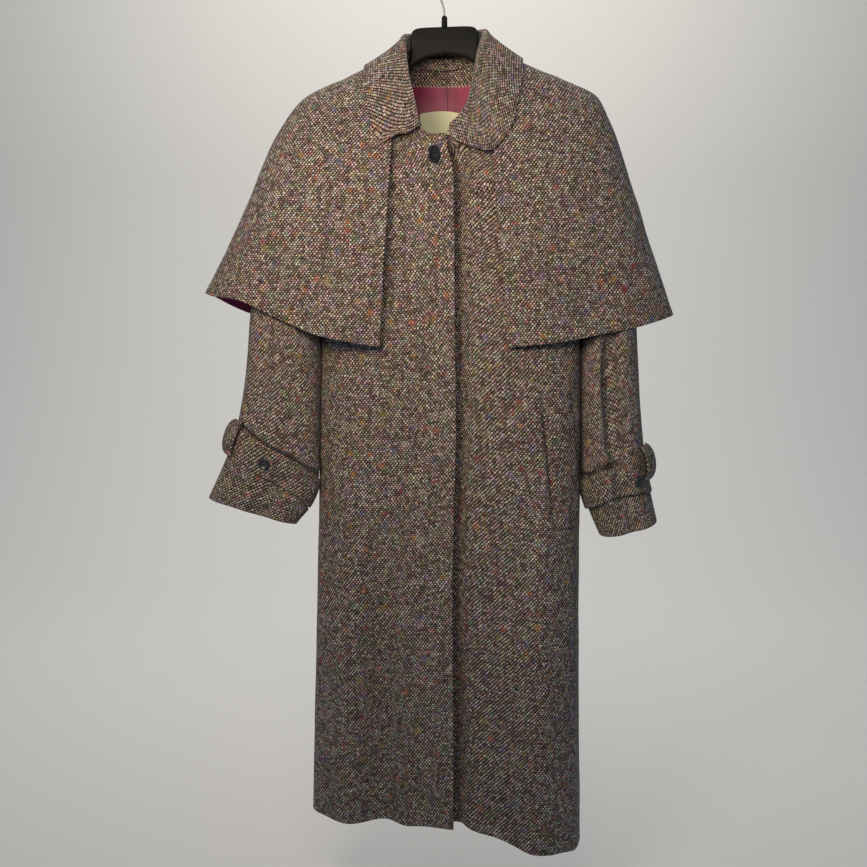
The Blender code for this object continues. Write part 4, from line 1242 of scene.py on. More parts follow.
def make_neck_inside(paint):
    """Back neck facing, back lining, bare label and hanging loop, all on the inside of the back."""
    inside = CLOTH_WALL + SEAM_GAP
    layer = inside + LINING_WALL + NECK_LAYER_GAP
    sides = (back_right_edge, back_left_edge)
    facing = panel(
        "neck_facing_cloth", body, (0.0, FACING_DEPTH), sides, FACING_GRID, (paint.tweed,), body_push,
        "laid", depth=inside, wall=LINING_WALL, rests_on=["coat_back"],
    )
    lining = panel(
        "back_lining_cloth", body, (FACING_DEPTH + SEAM_GAP, LINING_END), sides, LINING_GRID,
        (paint.back_satin,), body_push, "hung", depth=inside, wall=LINING_WALL, rests_on=["coat_back"],
    )
    label = panel(
        "neck_label_cloth", label_surface, LABEL_DOWN, back_strip(LABEL_MIDDLE_X, LABEL_HALF_WIDTH),
        LABEL_GRID, (paint.label,), body_push, "laid", depth=layer, wall=LABEL_WALL,
        rests_on=["back_lining_cloth"],
    )
    loop = panel(
        "hanging_loop_cloth", body, LOOP_NECK_DOWN, back_strip(0.0, LOOP_NECK_HALF), NECK_LOOP_GRID,
        (paint.tweed,), loop_push, "hung", depth=layer, rests_on=["neck_facing_cloth"],
    )
    stand_for(facing, "tweed", "neck_facing")
    stand_for(lining, "satin_lining", "lining_back")
    stand_for(label, "label_cloth", "neck_label")
    stand_for(loop, "tweed", "hanging_loop")


def cape_right_seam(down):
    return np.pi


def cape_left_seam(down):
    return 2 * np.pi


def make_cape(paint):
    """The cape's two fronts and back, each with its lining from the same points."""
    span = (CAPE_TOP, CAPE_LENGTH)
    back_edges = lapped_edges(cape, cape_right_seam, cape_left_seam)
    pieces = [
        ("right", tipped_cape, (cape_right_edge, cape_right_seam), CAPE_FRONT_COLUMNS, 0.0),
        ("back", cape, back_edges, CAPE_BACK_COLUMNS, 0.5),
        ("left", cape, (lambda down: 0.0, cape_left_edge), CAPE_FRONT_COLUMNS, 1.0),
    ]
    for name, surface, edges, wide, grain in pieces:
        outside = panel(
            f"cape_{name}_cloth", surface, span, edges, (CAPE_ROWS, wide), (paint.tweed,), cape_push,
            "hung", rests_on=["coat_back"], grain=grain, fanned=True,
        )
        lining_grid = (CAPE_LINING_ROWS, wide * CAPE_LINING_THIRDS // 3)
        inside = panel(
            f"cape_lining_{name}_cloth", surface, span, edges, lining_grid, (paint.satin,), cape_push,
            "hung", depth=CLOTH_WALL + SEAM_GAP, wall=LINING_WALL, rests_on=[outside.name], grain=grain,
            fanned=True,
        )
        stand_for(outside, "tweed", f"cape_{name}")
        stand_for(inside, "satin_lining", f"cape_lining_{name}")


def strap_row(table, angles):
    values = np.array([[row.down, row.lift] for row in table], float)
    low = np.radians(table[0].angle)
    high = np.radians(table[-1].angle)
    return smooth(np.radians([row.angle for row in table]), values, np.clip(angles, low, high))


def inner_bulge(side, angle, down):
    """How far a sleeve's inner side bulges towards the body."""
    turn = hump(np.degrees(angle), *INNER_BULGE_ANGLE)
    return np.interp(down, INNER_BULGE_DOWN, INNER_BULGE[side]) * turn


def cinch_push(angle, down, foot, strap, cinch):
    """A narrow recess above a sleeve's strap, the puff over it, and the cuff that is flush below it."""
    row = strap_row(strap, angle)
    over = row[..., 0] - STRAP_WIDTH / 2 - down
    under = down - row[..., 0] - STRAP_WIDTH / 2
    degrees = np.degrees(angle)
    drawn = cinch.puff * hump(over, cinch.puff_above, cinch.puff_width)
    drawn -= cinch.depth * hump(over, cinch.above, cinch.width)
    drawn *= ease(degrees, *cinch.starts) * (1 - ease(degrees, *cinch.ends))
    step = cinch.step * (row[..., 1] + STRAP_WALL) * ease(under, *STEP_RISE)
    step *= 1 - ease(down, foot - STEP_FADE, foot)
    step *= ease(degrees, *STEP_STARTS)
    step *= 1 - ease(degrees, *STEP_ENDS)
    return drawn + step


def loop_fill(side, place, angle, down):
    """How far a sleeve's outer side stands out inside its strap's loop."""
    along = (down - place.down) / (place.length / 2)
    away = np.degrees(np.angle(np.exp(1j * angle)))
    return LOOP_FILL[side] * np.clip(1 - along**2, 0, 1) * hump(away, *LOOP_FILL_ANGLE)


def make_sleeve(side, table, folds, creases, strap, cinch, loop, paint):
    """A sleeve, drawn in just above its strap. Its surface, its normal and its push are handed on."""
    surface = sleeve_surface(table, folds, side)
    unit = sleeve_normal(surface, side)
    foot = table[-1].down

    def push(angle, down):
        point = surface(angle, down)
        out = unit(angle, down)
        creased = crease_push(point, out, creases, -1) + crease_push(point, out, SLEEVE_BACK_CREASES, 1)
        waved = uneven(point) * ease(down, *SLEEVE_UNEVEN_DOWN) * np.abs(out[..., 1]) ** 0.5
        drawn = creased + waved + cinch_push(angle, down, foot, strap, cinch)
        return drawn + inner_bulge(side, angle, down)

    angle, down = np.meshgrid(
        np.linspace(0, 2 * np.pi, SLEEVE_SIDES, endpoint=False) - np.pi / 2,
        spaced(foot, SLEEVE_ROWS, CLOTH_WALL),
    )
    out = unit(angle, down)
    shape = push(angle, down) + loop_fill(side, loop, angle, down)
    made = shell(
        f"coat_sleeve_{side}", surface(angle, down) + out * shape[..., None], out, CLOTH_WALL,
        (paint.tweed, paint.satin), "hung", rests_on=[f"coat_front_{side}"], ring=True,
    )
    stand_for(made, "tweed", f"sleeve_{side}")
    return surface, unit, push


def make_strap(side, surface, unit, table, paint):
    """A cuff strap over the front of the sleeve, from its inner side to a rounded tip at the outer side."""
    first = np.radians(table[0].angle)
    last = np.radians(table[-1].angle)
    fine = np.linspace(first, last, FINE)
    length = length_along(surface(fine, strap_row(table, fine)[:, 0]), 0)
    angles = np.interp(spaced(length[-1], STRAP_GRID[1], STRAP_WALL), length, fine)
    middle = strap_row(table, angles)
    tip = np.clip((angles - first) / np.radians(STRAP_TIP_ANGLE), 0, 1)
    rounding = np.sqrt(1 - (1 - tip) ** 2)
    half = STRAP_WIDTH / 2 * (STRAP_TIP_SHARE + (1 - STRAP_TIP_SHARE) * rounding)
    across = spaced(STRAP_WIDTH, STRAP_GRID[0], STRAP_WALL)[:, None] / (STRAP_WIDTH / 2) - 1
    angle = np.repeat(angles[None, :], len(across), axis=0)
    down = middle[None, :, 0] + across * half[None, :]
    lift = np.repeat(middle[None, :, 1], len(across), axis=0)[..., None]
    out = unit(angle, down)
    bulge = inner_bulge(side, angle, down)[..., None]
    point = surface(angle, down) + out * (lift + bulge + STRAP_WALL)
    made = shell(
        f"cuff_strap_{side}", point, out, STRAP_WALL, (paint.trim,), "laid",
        rests_on=[f"coat_sleeve_{side}"],
    )
    stand_for(made, "tweed_trim", f"strap_{side}")


def make_strap_loop(side, surface, unit, push, place, paint):
    """The strap's keeper: a short band that stands off the sleeve like an arch."""
    along = spaced(place.length, KEEPER_GRID[0], CLOTH_WALL)[:, None] / (place.length / 2) - 1
    across = np.linspace(-1, 1, KEEPER_GRID[1])[None, :]
    angle = np.radians(place.angle + across * place.half_angle - place.lean * along)
    down = np.broadcast_to(place.down + along * place.length / 2, angle.shape)
    arch = np.broadcast_to(LOOP_END_LIFT + LOOP_LIFT * np.sqrt(1 - along**2), angle.shape)
    out = unit(angle, down)
    lift = np.maximum(push(angle, down), 0.0) + arch + CLOTH_WALL
    point = surface(angle, down) + out * lift[..., None]
    made = shell(
        f"strap_keeper_{side}", point, out, CLOTH_WALL, (paint.trim,), "laid",
        rests_on=[f"coat_sleeve_{side}"],
    )
    stand_for(made, "tweed_trim", f"strap_loop_{side}")


def make_welt(paint):
    """The left front's slanted welt pocket, its sides set by their way round from the front's middle."""

    def edges(down):
        middle = angle_at_x(body, down, np.interp(down, [WELT_TOP, WELT_FOOT], WELT_LINE_X))
        fine = np.linspace(middle, middle - WELT_REACH, FINE)
        length = length_along(under_front(fine, np.full_like(fine, down)), 0)
        inner = np.interp(down, [WELT_TOP, WELT_FOOT], [WELT_INNER_TOP, WELT_INNER_FOOT])
        return np.interp([inner + WELT_WIDTH, inner], length, fine)

    made = panel(
        "welt_left", under_front, (WELT_TOP, WELT_FOOT), (lambda d: edges(d)[0], lambda d: edges(d)[1]),
        WELT_GRID, (paint.trim,), body_push, "laid", depth=-WELT_WALL - WELT_GAP, wall=WELT_WALL,
        rests_on=["coat_front_left"],
    )
    stand_for(made, "tweed_trim", "pocket_welt_left")


def collar_seam(fold):
    """The collar's seam line: the body's neck ring at the angle of each fold point, a little in and up."""
    ring_middle = np.array([BODY[0].mid_x, BODY[0].mid_y])
    flat = fold[:, :2] - ring_middle
    angle = np.arctan2(-flat[:, 1] / BODY[0].front, flat[:, 0] / BODY[0].right)
    ring = body(angle, np.zeros_like(angle))
    towards = ring_middle - ring[:, :2]
    towards /= np.linalg.norm(towards, axis=1, keepdims=True)
    ring[:, :2] += towards * COLLAR_SEAM_INSET
    ring[:, 2] += COLLAR_SEAM_LIFT
    return ring


def make_collar(paint):
    """A one-piece collar: a stand on the neck seam, a rolled fold, and the fall over the cape."""
    at = spaced(COLLAR_AROUND, COLLAR_GRID[1], COLLAR_WALL) / COLLAR_AROUND
    read = smooth([row.along for row in COLLAR], [row[1:] for row in COLLAR], at)
    fold = read[:, :3]
    angle = np.radians(read[:, 3])
    reach = read[:, 4]
    sag = -UP * read[:, 5:]
    seam = collar_seam(fold)
    rows = [seam, (seam + fold) / 2, fold]
    for share in COLLAR_FALL_STEPS:
        place = (angle % (2 * np.pi), share * reach)
        lying = cape(*place) + normal(cape, *place) * (COLLAR_REST + COLLAR_WALL)
        settled = ease(share, *COLLAR_SETTLE)
        roll = UP * COLLAR_ROLL * hump(share, *COLLAR_ROLL_AT)
        rows.append(fold * (1 - settled) + lying * settled + roll + sag * hump(share, *COLLAR_SAG_AT))
    rows = np.stack(rows)
    along = np.concatenate([[0.0], np.cumsum(np.linalg.norm(np.diff(rows, axis=0), axis=-1).mean(axis=1))])
    ways = spaced(along[-1], COLLAR_GRID[0], COLLAR_WALL)
    point = smooth(along, rows, ways)
    unit = np.cross(np.gradient(point, axis=1), np.gradient(point, axis=0))
    unit /= np.linalg.norm(unit, axis=-1, keepdims=True)
    made = shell(
        "collar_cloth", point, unit, COLLAR_WALL, (paint.tweed,), "folded", rests_on=["coat_back"],
        fold=int(np.searchsorted(ways, along[2])),
    )
    stand_for(made, "tweed", "collar")


def face_mesh(name, points, faces, paints, paint_index=None):
    """A small mesh from lists of points in mm and faces, shaded smooth."""
    mesh = bpy.data.meshes.new(name)
    mesh.from_pydata((np.asarray(points, float) * MM).tolist(), [], faces)
    mesh.update()
    made = add_mesh(name, mesh, paints)
    if paint_index is not None:
        mesh.polygons.foreach_set("material_index", paint_index)
    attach(made, ROOT)
    return made


def frame_on(out):
    """Two directions square to out, the second as near to up as can be."""
    up = UP if abs(out[2]) < UPRIGHT else np.array([0.0, 1.0, 0.0])
    across = np.cross(up, out)
    across /= np.linalg.norm(across)
    return across, np.cross(out, across)


def band_faces(rings, sides, first=0, closed=False):
    """The quads between neighbouring rings of points."""
    faces = []
    for i in range(rings if closed else rings - 1):
        low = first + i * sides
        high = first + (i + 1) % rings * sides
        for k in range(sides):
            beside = (k + 1) % sides
            faces.append([low + k, low + beside, high + beside, high + k])
    return faces


def circle(middle, radius, across, up, sides):
    """Points round a circle."""
    turns = 2 * np.pi * np.arange(sides) / sides
    return [middle + radius * (across * np.cos(turn) + up * np.sin(turn)) for turn in turns]


def beyond(end, inner, way):
    """A point past the end of a line."""
    return end + (end - inner) / np.linalg.norm(end - inner) * way


def tube(path, radius, sides=CORD_SIDES, closed=False):
    """Points and faces of a round tube along a path, with round ends."""
    path = np.asarray(path, float)
    radii = np.full(len(path), float(radius))
    if closed:
        ahead = np.roll(path, -1, axis=0) - np.roll(path, 1, axis=0)
    else:
        head = beyond(path[0], path[1], radius * TUBE_END_REACH)
        tail = beyond(path[-1], path[-2], radius * TUBE_END_REACH)
        path = np.concatenate([[head], path, [tail]])
        end_radius = radius * TUBE_END_SHARE
        radii = np.concatenate([[end_radius], radii, [end_radius]])
        ahead = np.gradient(path, axis=0)
    ahead /= np.linalg.norm(ahead, axis=1, keepdims=True)
    side = np.cross(ahead[0], ODD_WAY)
    points = []
    for place, way, wide in zip(path, ahead, radii):
        side = side - way * np.dot(side, way)
        side = side / np.linalg.norm(side)
        points += circle(place, wide, side, np.cross(way, side), sides)
    count = len(path)
    faces = band_faces(count, sides, closed=closed)
    if not closed:
        faces.append(list(range(sides))[::-1])
        faces.append([(count - 1) * sides + k for k in range(sides)])
    return points, faces


def join_parts(parts):
    """Several lists of points and faces as one, with the index of the part that each face is from."""
    points, faces, index = [], [], []
    for number, (more_points, more_faces) in enumerate(parts):
        faces += [[k + len(points) for k in face] for face in more_faces]
        points += list(more_points)
        index += [number] * len(more_faces)
    return points, faces, index


def lathe(profile, seat, out, sides):
    """Points and faces of a turned solid. profile is pairs of a radius and a height, from axis to axis."""
    across, up = frame_on(out)
    points = [seat + out * profile[0][1], seat + out * profile[-1][1]]
    for away, height in profile[1:-1]:
        points += circle(seat + out * height, away, across, up, sides)
    rings = len(profile) - 2
    top = 2 + (rings - 1) * sides
    faces = band_faces(rings, sides, first=2)
    for k in range(sides):
        after = (k + 1) % sides
        faces.append([0, 2 + after, 2 + k])
        faces.append([1, top + k, top + after])
    return points, faces


def make_button(name, seat, out, radius, paint, node):
    """A sewn-on button with a sunk face, four holes and thread through them."""
    profile = [(away * radius, height * BUTTON_THICKNESS) for away, height in BUTTON_PROFILE]
    points, faces = lathe(profile, seat, out, BUTTON_SIDES)
    across, up = frame_on(out)
    hole_away = HOLE_AWAY * radius
    holes = [(i * hole_away, j * hole_away) for i in (-1, 1) for j in (-1, 1)]
    sunk = []
    for point in points:
        flat = point - seat
        if np.dot(flat, out) > BUTTON_FACE_LEAST * BUTTON_THICKNESS:
            for x, y in holes:
                away = np.hypot(np.dot(flat, across) - x, np.dot(flat, up) - y)
                point = point - out * HOLE_DEPTH * np.exp(-((away / (HOLE_RADIUS * radius)) ** 4))
        sunk.append(point)
    parts = [(sunk, faces)]
    for j in (-1, 1):
        path = []
        for share in np.linspace(-1, 1, BUTTON_THREAD_POINTS):
            bow = BUTTON_THREAD_BOW * (1 - share**2) - BUTTON_THREAD_SUNK
            height = BUTTON_FACE * BUTTON_THICKNESS + bow
            path.append(seat + across * (hole_away * share) + up * (j * hole_away) + out * height)
        parts.append(tube(path, BUTTON_THREAD_RADIUS, THREAD_SIDES))
    points, faces, index = join_parts(parts)
    paint_index = [min(part, 1) for part in index]
    made = face_mesh(name, points, faces, (paint.horn, paint.slit), paint_index)
    stand_for(made, "button_horn", node)


def make_cuff_button(side, surface, unit, table, place, paint):
    angle = np.array([np.radians(place[0])])
    down = np.array([float(place[1])])
    lift = strap_row(table, angle)[0, 1] + STRAP_WALL + BUTTON_SHANK
    out = unit(angle, down)[0]
    seat = surface(angle, down)[0] + out * lift
    make_button(f"cuff_button_{side}", seat, out, CUFF_BUTTON_RADIUS, paint, f"button_cuff_{side}")


def make_neck_button(paint):
    """The neck button, turned towards the left on its shank, and the buttonhole that it comes through."""
    down = np.array([NECK_BUTTON_DOWN])
    angle = np.array([front_edge_angle(down[0], -NECK_BUTTON_INSET)])
    flat = normal(body, angle, down)[0]
    turn = np.radians(NECK_BUTTON_TURN)
    out = np.array(
        [
            flat[0] * np.cos(turn) - flat[1] * np.sin(turn),
            flat[0] * np.sin(turn) + flat[1] * np.cos(turn),
            flat[2],
        ]
    )
    foot = body(angle, down)[0]
    seat = foot + flat * (NECK_BUTTON_RADIUS * np.sin(turn) + BUTTON_SHANK)
    make_button("neck_button", seat, out, NECK_BUTTON_RADIUS, paint, "button_neck")
    shank, shank_faces = tube([foot, (foot + seat) / 2, seat], SHANK_RADIUS, SHANK_SIDES)
    face_mesh("neck_button_shank", shank, shank_faces, (paint.buttonhole,))
    make_buttonhole(paint)


def on_over_front(x, down, lift):
    """A point on the right front at this x and way down."""
    down = np.array([down])
    angle = np.array([angle_at_x(body, down[0], x)])
    point = body(angle, down)
    unit = normal(body, angle, down)
    return (point + unit * (over_front_push(point, unit, down)[..., None] + lift))[0]


def make_buttonhole(paint):
    """A corded buttonhole: a long ring of stitches round a dark slit, a near-black tube of painted shade.
    """
    ring = []
    for turn in np.linspace(0, 2 * np.pi, BUTTONHOLE_POINTS, endpoint=False):
        x = BUTTONHOLE_MIDDLE_X + BUTTONHOLE_HALF * np.clip(BUTTONHOLE_SQUARE * np.cos(turn), -1, 1)
        down = NECK_BUTTON_DOWN + BUTTONHOLE_HALF_WIDTH * np.sin(turn)
        ring.append(on_over_front(x, down, BUTTONHOLE_LIFT))
    along = np.linspace(-SLIT_SHARE, SLIT_SHARE, SLIT_POINTS) * BUTTONHOLE_HALF
    # The slit is a near-black tube sunk a little under the cloth: painted shade in the buttonhole's opening
    slit = [on_over_front(BUTTONHOLE_MIDDLE_X + x, NECK_BUTTON_DOWN, -BUTTONHOLE_LIFT) for x in along]
    points, faces, index = join_parts([tube(ring, BUTTONHOLE_CORD, closed=True), tube(slit, SLIT_RADIUS)])
    made = face_mesh("buttonhole", points, faces, (paint.buttonhole, paint.slit), index)


def make_facing_stitches(paint):
    """Small slanted hand stitches that hold the neck facing's lower edge to the lining."""
    inside = CLOTH_WALL + SEAM_GAP + LINING_WALL
    varies, turn = STITCH_VARIES
    parts = []
    for number, x in enumerate(np.linspace(*STITCH_X, STITCH_COUNT)):
        path = []
        half = STITCH_HALF + varies * np.sin(turn * number)
        for share in STITCH_SHARES:
            down = np.array([FACING_DEPTH + STITCH_BELOW + share * half])
            angle = np.array([back_angle_at_x(down[0], x + STITCH_SLANT * share)])
            point = body(angle, down)
            unit = normal(body, angle, down)
            out = body_push(point, unit, down)[0] - inside - STITCH_LIFT - STITCH_BOW * (1 - share**2)
            path.append(point[0] + unit[0] * out)
        parts.append(tube(path, STITCH_RADIUS, THREAD_SIDES))
    points, faces, _ = join_parts(parts)
    face_mesh("facing_stitches", points, faces, (paint.thread,))


def smooth_line(points, count):
    """A smooth line through points, as evenly spread places."""
    along = length_along(points, 0)
    return smooth(along, points, np.linspace(0, along[-1], count))


def hanger_edge(column):
    """One edge of the hanger, from its middle to its left tip."""
    return smooth_line(np.array([(row.x, getattr(row, column)) for row in HANGER], float), HANGER_POINTS)


def tilted(x, z):
    tilt = np.radians(HANGER_TILT)
    return x * np.cos(tilt), z + x * np.sin(tilt)


def make_hanger(paint):
    """The moulded hanger: a flat body with round edges, and a low lip along the head's lower edge."""
    top = hanger_edge("top")
    foot = hanger_edge("foot")
    mirror = np.array([-1.0, 1.0])
    outline = np.concatenate([top[::-1] * mirror, top[1:], foot[::-1], foot[1:] * mirror])
    ahead = np.roll(outline, -1, axis=0) - np.roll(outline, 1, axis=0)
    ahead /= np.linalg.norm(ahead, axis=1, keepdims=True)
    inward = np.stack([ahead[:, 1], -ahead[:, 0]], axis=1)
    half = HANGER_THICKNESS / 2
    front = []
    for turn in HANGER_ROUND_TURNS:
        front.append((-half + HANGER_ROUNDING * (1 - np.sin(turn)), HANGER_ROUNDING * (1 - np.cos(turn))))
    rings = front + [(-y, inset) for y, inset in front[::-1]]
    points = []
    for y, inset in rings:
        for x, z in outline + inward * inset:
            flat_x, flat_z = tilted(x, z)
            points.append((flat_x, y, flat_z))
    count = len(outline)
    last = len(points) - count
    faces = [face[::-1] for face in band_faces(len(rings), count)]
    for k in range(count // 2 - 1):
        face = [k, k + 1, count - 2 - k, count - 1 - k]
        faces.append(face)
        faces.append([last + place for place in face[::-1]])
    lip_path = []
    for x, z in np.concatenate([foot[:LIP_POINTS][::-1] * mirror, foot[1:LIP_POINTS]]):
        flat_x, flat_z = tilted(x, z + LIP_UP)
        lip_path.append((flat_x, LIP_SUNK - half, flat_z))
    parts = [(points, faces), tube(lip_path, LIP_RADIUS)]
    made = face_mesh("hanger_moulding", *join_parts(parts)[:2], (paint.plastic,))
    stand_for(made, "hanger_plastic", "hanger_body")


def make_hook(paint):
    """The boss on the hanger's head, and the wire hook that stands in it."""
    head = HANGER[0].top
    base = UP * (head + SEAM_GAP)
    points, faces = lathe(BOSS_PROFILE, base, UP, BOSS_SIDES)
    boss = face_mesh("hanger_boss_cap", points, faces, (paint.plastic,))
    stand_for(boss, "hanger_plastic", "hanger_boss")
    middle_z = HOOK_WIRE_RADIUS - HOOK_RADIUS
    shank = np.array([(x, head + BOSS_HEIGHT + up) for x, up in HOOK_SHANK])
    path = [(x, 0.0, z) for x, z in smooth_line(shank, HOOK_SHANK_POINTS)]
    for turn in np.radians(np.linspace(*HOOK_TURN, HOOK_POINTS)):
        path.append((HOOK_RADIUS * np.cos(turn), 0.0, middle_z + HOOK_RADIUS * np.sin(turn)))
    points, faces = tube(path, HOOK_WIRE_RADIUS, HOOK_SIDES)
    hook = face_mesh("hanger_hook_wire", points, faces, (paint.steel,))
    stand_for(hook, "hook_steel", "hanger_hook")


class Shader:
    """Short calls that build one material's nodes."""

    def __init__(self, name, **sockets):
        self.material = bpy.data.materials.new(name)
        self.material.use_nodes = True
        self.tree = self.material.node_tree
        self.base = self.tree.nodes["Principled BSDF"]
        for socket, value in sockets.items():
            self.base.inputs[socket.replace("_", " ")].default_value = value

    def put(self, value, socket):
        """Sets a socket from a number, a colour or another node's output."""
        if isinstance(value, bpy.types.NodeSocket):
            self.tree.links.new(value, socket)
        else:
            socket.default_value = value

    def node(self, kind, *values, **settings):
        """A node with these settings, its first sockets set from the values."""
        made = self.tree.nodes.new(kind)
        for key, value in settings.items():
            setattr(made, key, value)
        for value, socket in zip(values, made.inputs):
            self.put(value, socket)
        return made

    def texture(self, kind, vector, **sockets):
        made = self.node(kind, vector)
        for socket, value in sockets.items():
            made.inputs[socket].default_value = value
        return made.outputs

    def math(self, operation, *values):
        return self.node("ShaderNodeMath", *values, operation=operation).outputs[0]

    def vector(self, operation, *values):
        return self.node("ShaderNodeVectorMath", *values, operation=operation).outputs[0]

    def combine(self, x, y, z=0.0):
        return self.node("ShaderNodeCombineXYZ", x, y, z).outputs[0]

    def split(self, vector):
        return self.node("ShaderNodeSeparateXYZ", vector).outputs

    def place(self):
        """Where a point is on the object, in metres."""
        return self.node("ShaderNodeTexCoord").outputs["Object"]

    def noise(self, vector, scale, detail=2.0, rough=0.5):
        return self.texture("ShaderNodeTexNoise", vector, Scale=scale, Detail=detail, Roughness=rough)

    def cells(self, vector, scale):
        return self.texture("ShaderNodeTexVoronoi", vector, Scale=scale)

    def fit(self, value, low, high, new_low, new_high, kind="SMOOTHSTEP"):
        values = (value, low, high, new_low, new_high)
        return self.node("ShaderNodeMapRange", *values, interpolation_type=kind).outputs[0]

    def ramp(self, value, stops, kind="LINEAR"):
        made = self.node("ShaderNodeValToRGB")
        made.color_ramp.interpolation = kind
        elements = made.color_ramp.elements
        while len(elements) < len(stops):
            elements.new(0.5)
        for element, (place, colour) in zip(elements, stops):
            element.position = place
            element.color = (*colour, 1.0)
        self.put(value, made.inputs[0])
        return made.outputs[0]

    def mix(self, share, first, second):
        made = self.node("ShaderNodeMix", share, data_type="RGBA")
        self.put(first, made.inputs[6])
        self.put(second if isinstance(second, bpy.types.NodeSocket) else (*second, 1.0), made.inputs[7])
        return made.outputs[2]

    def threads(self, pitch):
        """The cloth's UVs counted in threads."""
        uv = self.node("ShaderNodeUVMap", uv_map="cloth")
        return self.scaled(uv.outputs[0], 1 / (pitch * MM))

    def scaled(self, vector, scale):
        made = self.node("ShaderNodeVectorMath", vector, operation="SCALE")
        made.inputs["Scale"].default_value = scale
        return made.outputs[0]

    def bump(self, height, strength, distance_mm):
        made = self.node("ShaderNodeBump")
        made.inputs["Strength"].default_value = strength
        made.inputs["Distance"].default_value = distance_mm * MM
        self.put(height, made.inputs["Height"])
        self.put(made.outputs[0], self.base.inputs["Normal"])

    def colour(self, value):
        self.put(value, self.base.inputs["Base Color"])

    def roughness(self, value):
        self.put(value, self.base.inputs["Roughness"])


def round_thread(shade, place):
    """The height across a thread, from 0 at its sides to 1 on top."""
    side = shade.math("MULTIPLY_ADD", place, 2.0, -1.0)
    return shade.math("SUBTRACT", 1.0, shade.math("POWER", shade.math("ABSOLUTE", side), 2.0))


def fleck(shade, vector, kind):
    """Flecks in some of a pattern's cells: how much of one there is, and a value that picks its colour."""
    moved = shade.vector("ADD", vector, (kind.salt, kind.salt * FLECK_SALT_SHARE, 0.0))
    distance, colour = shade.cells(moved, kind.scale)[:2]
    chance, pick, size = shade.split(colour)
    there = shade.math("GREATER_THAN", chance, kind.least)
    reach = shade.math("MULTIPLY_ADD", size, kind.far * FLECK_SIZE_VARIES, kind.far * FLECK_SIZE_LEAST)
    solid = shade.math("MULTIPLY", reach, kind.near / kind.far)
    amount = shade.math("MULTIPLY", shade.fit(distance, solid, reach, 1.0, 0.0), there)
    return shade.math("MULTIPLY", amount, kind.strength), pick


def palette_ramp(shade, pick):
    share = 1.0 / len(PALETTE)
    return shade.ramp(pick, [(k * share, colour) for k, colour in enumerate(PALETTE)], "CONSTANT")


def make_tweed(name, tone):
    """Flecked wool: rows of short uneven weft floats that step along a twill, over a dark warp."""
    shade = Shader(name, Roughness=0.95, Sheen_Weight=0.06, Sheen_Roughness=0.5, Specular_IOR_Level=0.08)
    threads = shade.threads(THREAD)
    mm_place = shade.scaled(threads, THREAD)
    wander = shade.noise(mm_place, WANDER_NOISE)[1]
    spun = shade.vector("MULTIPLY_ADD", wander, (THREAD_WANDER,) * 3, threads)
    strayed = shade.vector("MULTIPLY_ADD", wander, (FLECK_WANDER,) * 3, mm_place)
    s, t, _ = shade.split(spun)
    row = shade.math("FLOOR", t)
    in_row = shade.math("FRACT", t)
    leant = shade.math("MULTIPLY_ADD", in_row, -FLOAT_LEAN, s)
    stepped = shade.math("MULTIPLY_ADD", row, -FLOAT_STEP, leant)
    along = shade.math("DIVIDE", stepped, FLOAT_REPEAT)
    one_float = shade.combine(shade.math("FLOOR", along), row)
    chance = shade.node("ShaderNodeTexWhiteNoise", one_float, noise_dimensions="2D").outputs[0]
    across_weft = round_thread(shade, in_row)
    along_weft = round_thread(shade, shade.math("DIVIDE", shade.math("FRACT", along), FLOAT_SHARE))
    raised = shade.math("MULTIPLY", across_weft, shade.math("MAXIMUM", along_weft, 0.0))
    melange = shade.noise(mm_place, MELANGE_NOISE)[0]
    mixed = shade.math("MULTIPLY", melange, MELANGE_SHARE)
    weft_tone = shade.math("MULTIPLY_ADD", chance, 1 - MELANGE_SHARE, mixed)
    weft = shade.ramp(weft_tone, WEFT_STOPS)
    warp = shade.ramp(melange, WARP_STOPS)
    weft_share = shade.fit(raised, *WEFT_SHOWS, 0.0, 1.0)
    colour = shade.mix(weft_share, warp, weft)
    cloud = shade.noise(mm_place, TINT_NOISE)[1]
    tint = shade.vector("MULTIPLY_ADD", cloud, TINT_GAIN, TINT_LEAST)
    colour = shade.vector("MULTIPLY", colour, tint)
    woven = shade.math("MULTIPLY_ADD", weft_share, FLECK_ON_WEFT, 1 - FLECK_ON_WEFT)
    for kind in FLECKS:
        amount, pick = fleck(shade, strayed, kind)
        colour = shade.mix(shade.math("MULTIPLY", amount, woven), colour, palette_ramp(shade, pick))
    nub, _ = fleck(shade, mm_place, NUBS)
    colour = shade.mix(nub, colour, NUB)
    shade.colour(shade.vector("MULTIPLY", colour, (tone, tone, tone)))
    height = shade.math("MULTIPLY_ADD", nub, NUB_HEIGHT, raised)
    shade.bump(height, *TWEED_BUMP)
    return shade.material


def make_satin(name, seam):
    """Burgundy satin, with the sewn line down its middle on the back lining."""
    shade = Shader(name, Roughness=0.42, Sheen_Weight=0.08, Sheen_Roughness=0.3, Specular_IOR_Level=0.3)
    place = shade.threads(1.0)
    soft = shade.noise(shade.vector("MULTIPLY", place, SATIN_STRETCH), *SATIN_NOISE)[0]
    colour = shade.ramp(soft, SATIN_STOPS)
    s, t, _ = shade.split(place)
    rib = shade.math("SINE", shade.math("MULTIPLY", shade.math("ADD", s, t), SATIN_RIBS))
    height = shade.math("MULTIPLY", rib, SATIN_RIB_HEIGHT)
    if seam:
        away = shade.math("ABSOLUTE", shade.math("ADD", s, seam))
        line = shade.fit(away, *SATIN_SEAM_WIDTH, 1.0, 0.0)
        colour = shade.mix(shade.math("MULTIPLY", line, SATIN_SEAM_SHARE), colour, SATIN_SEAM)
        height = shade.math("SUBTRACT", height, line)
    shade.colour(colour)
    shade.bump(height, *SATIN_BUMP)
    return shade.material


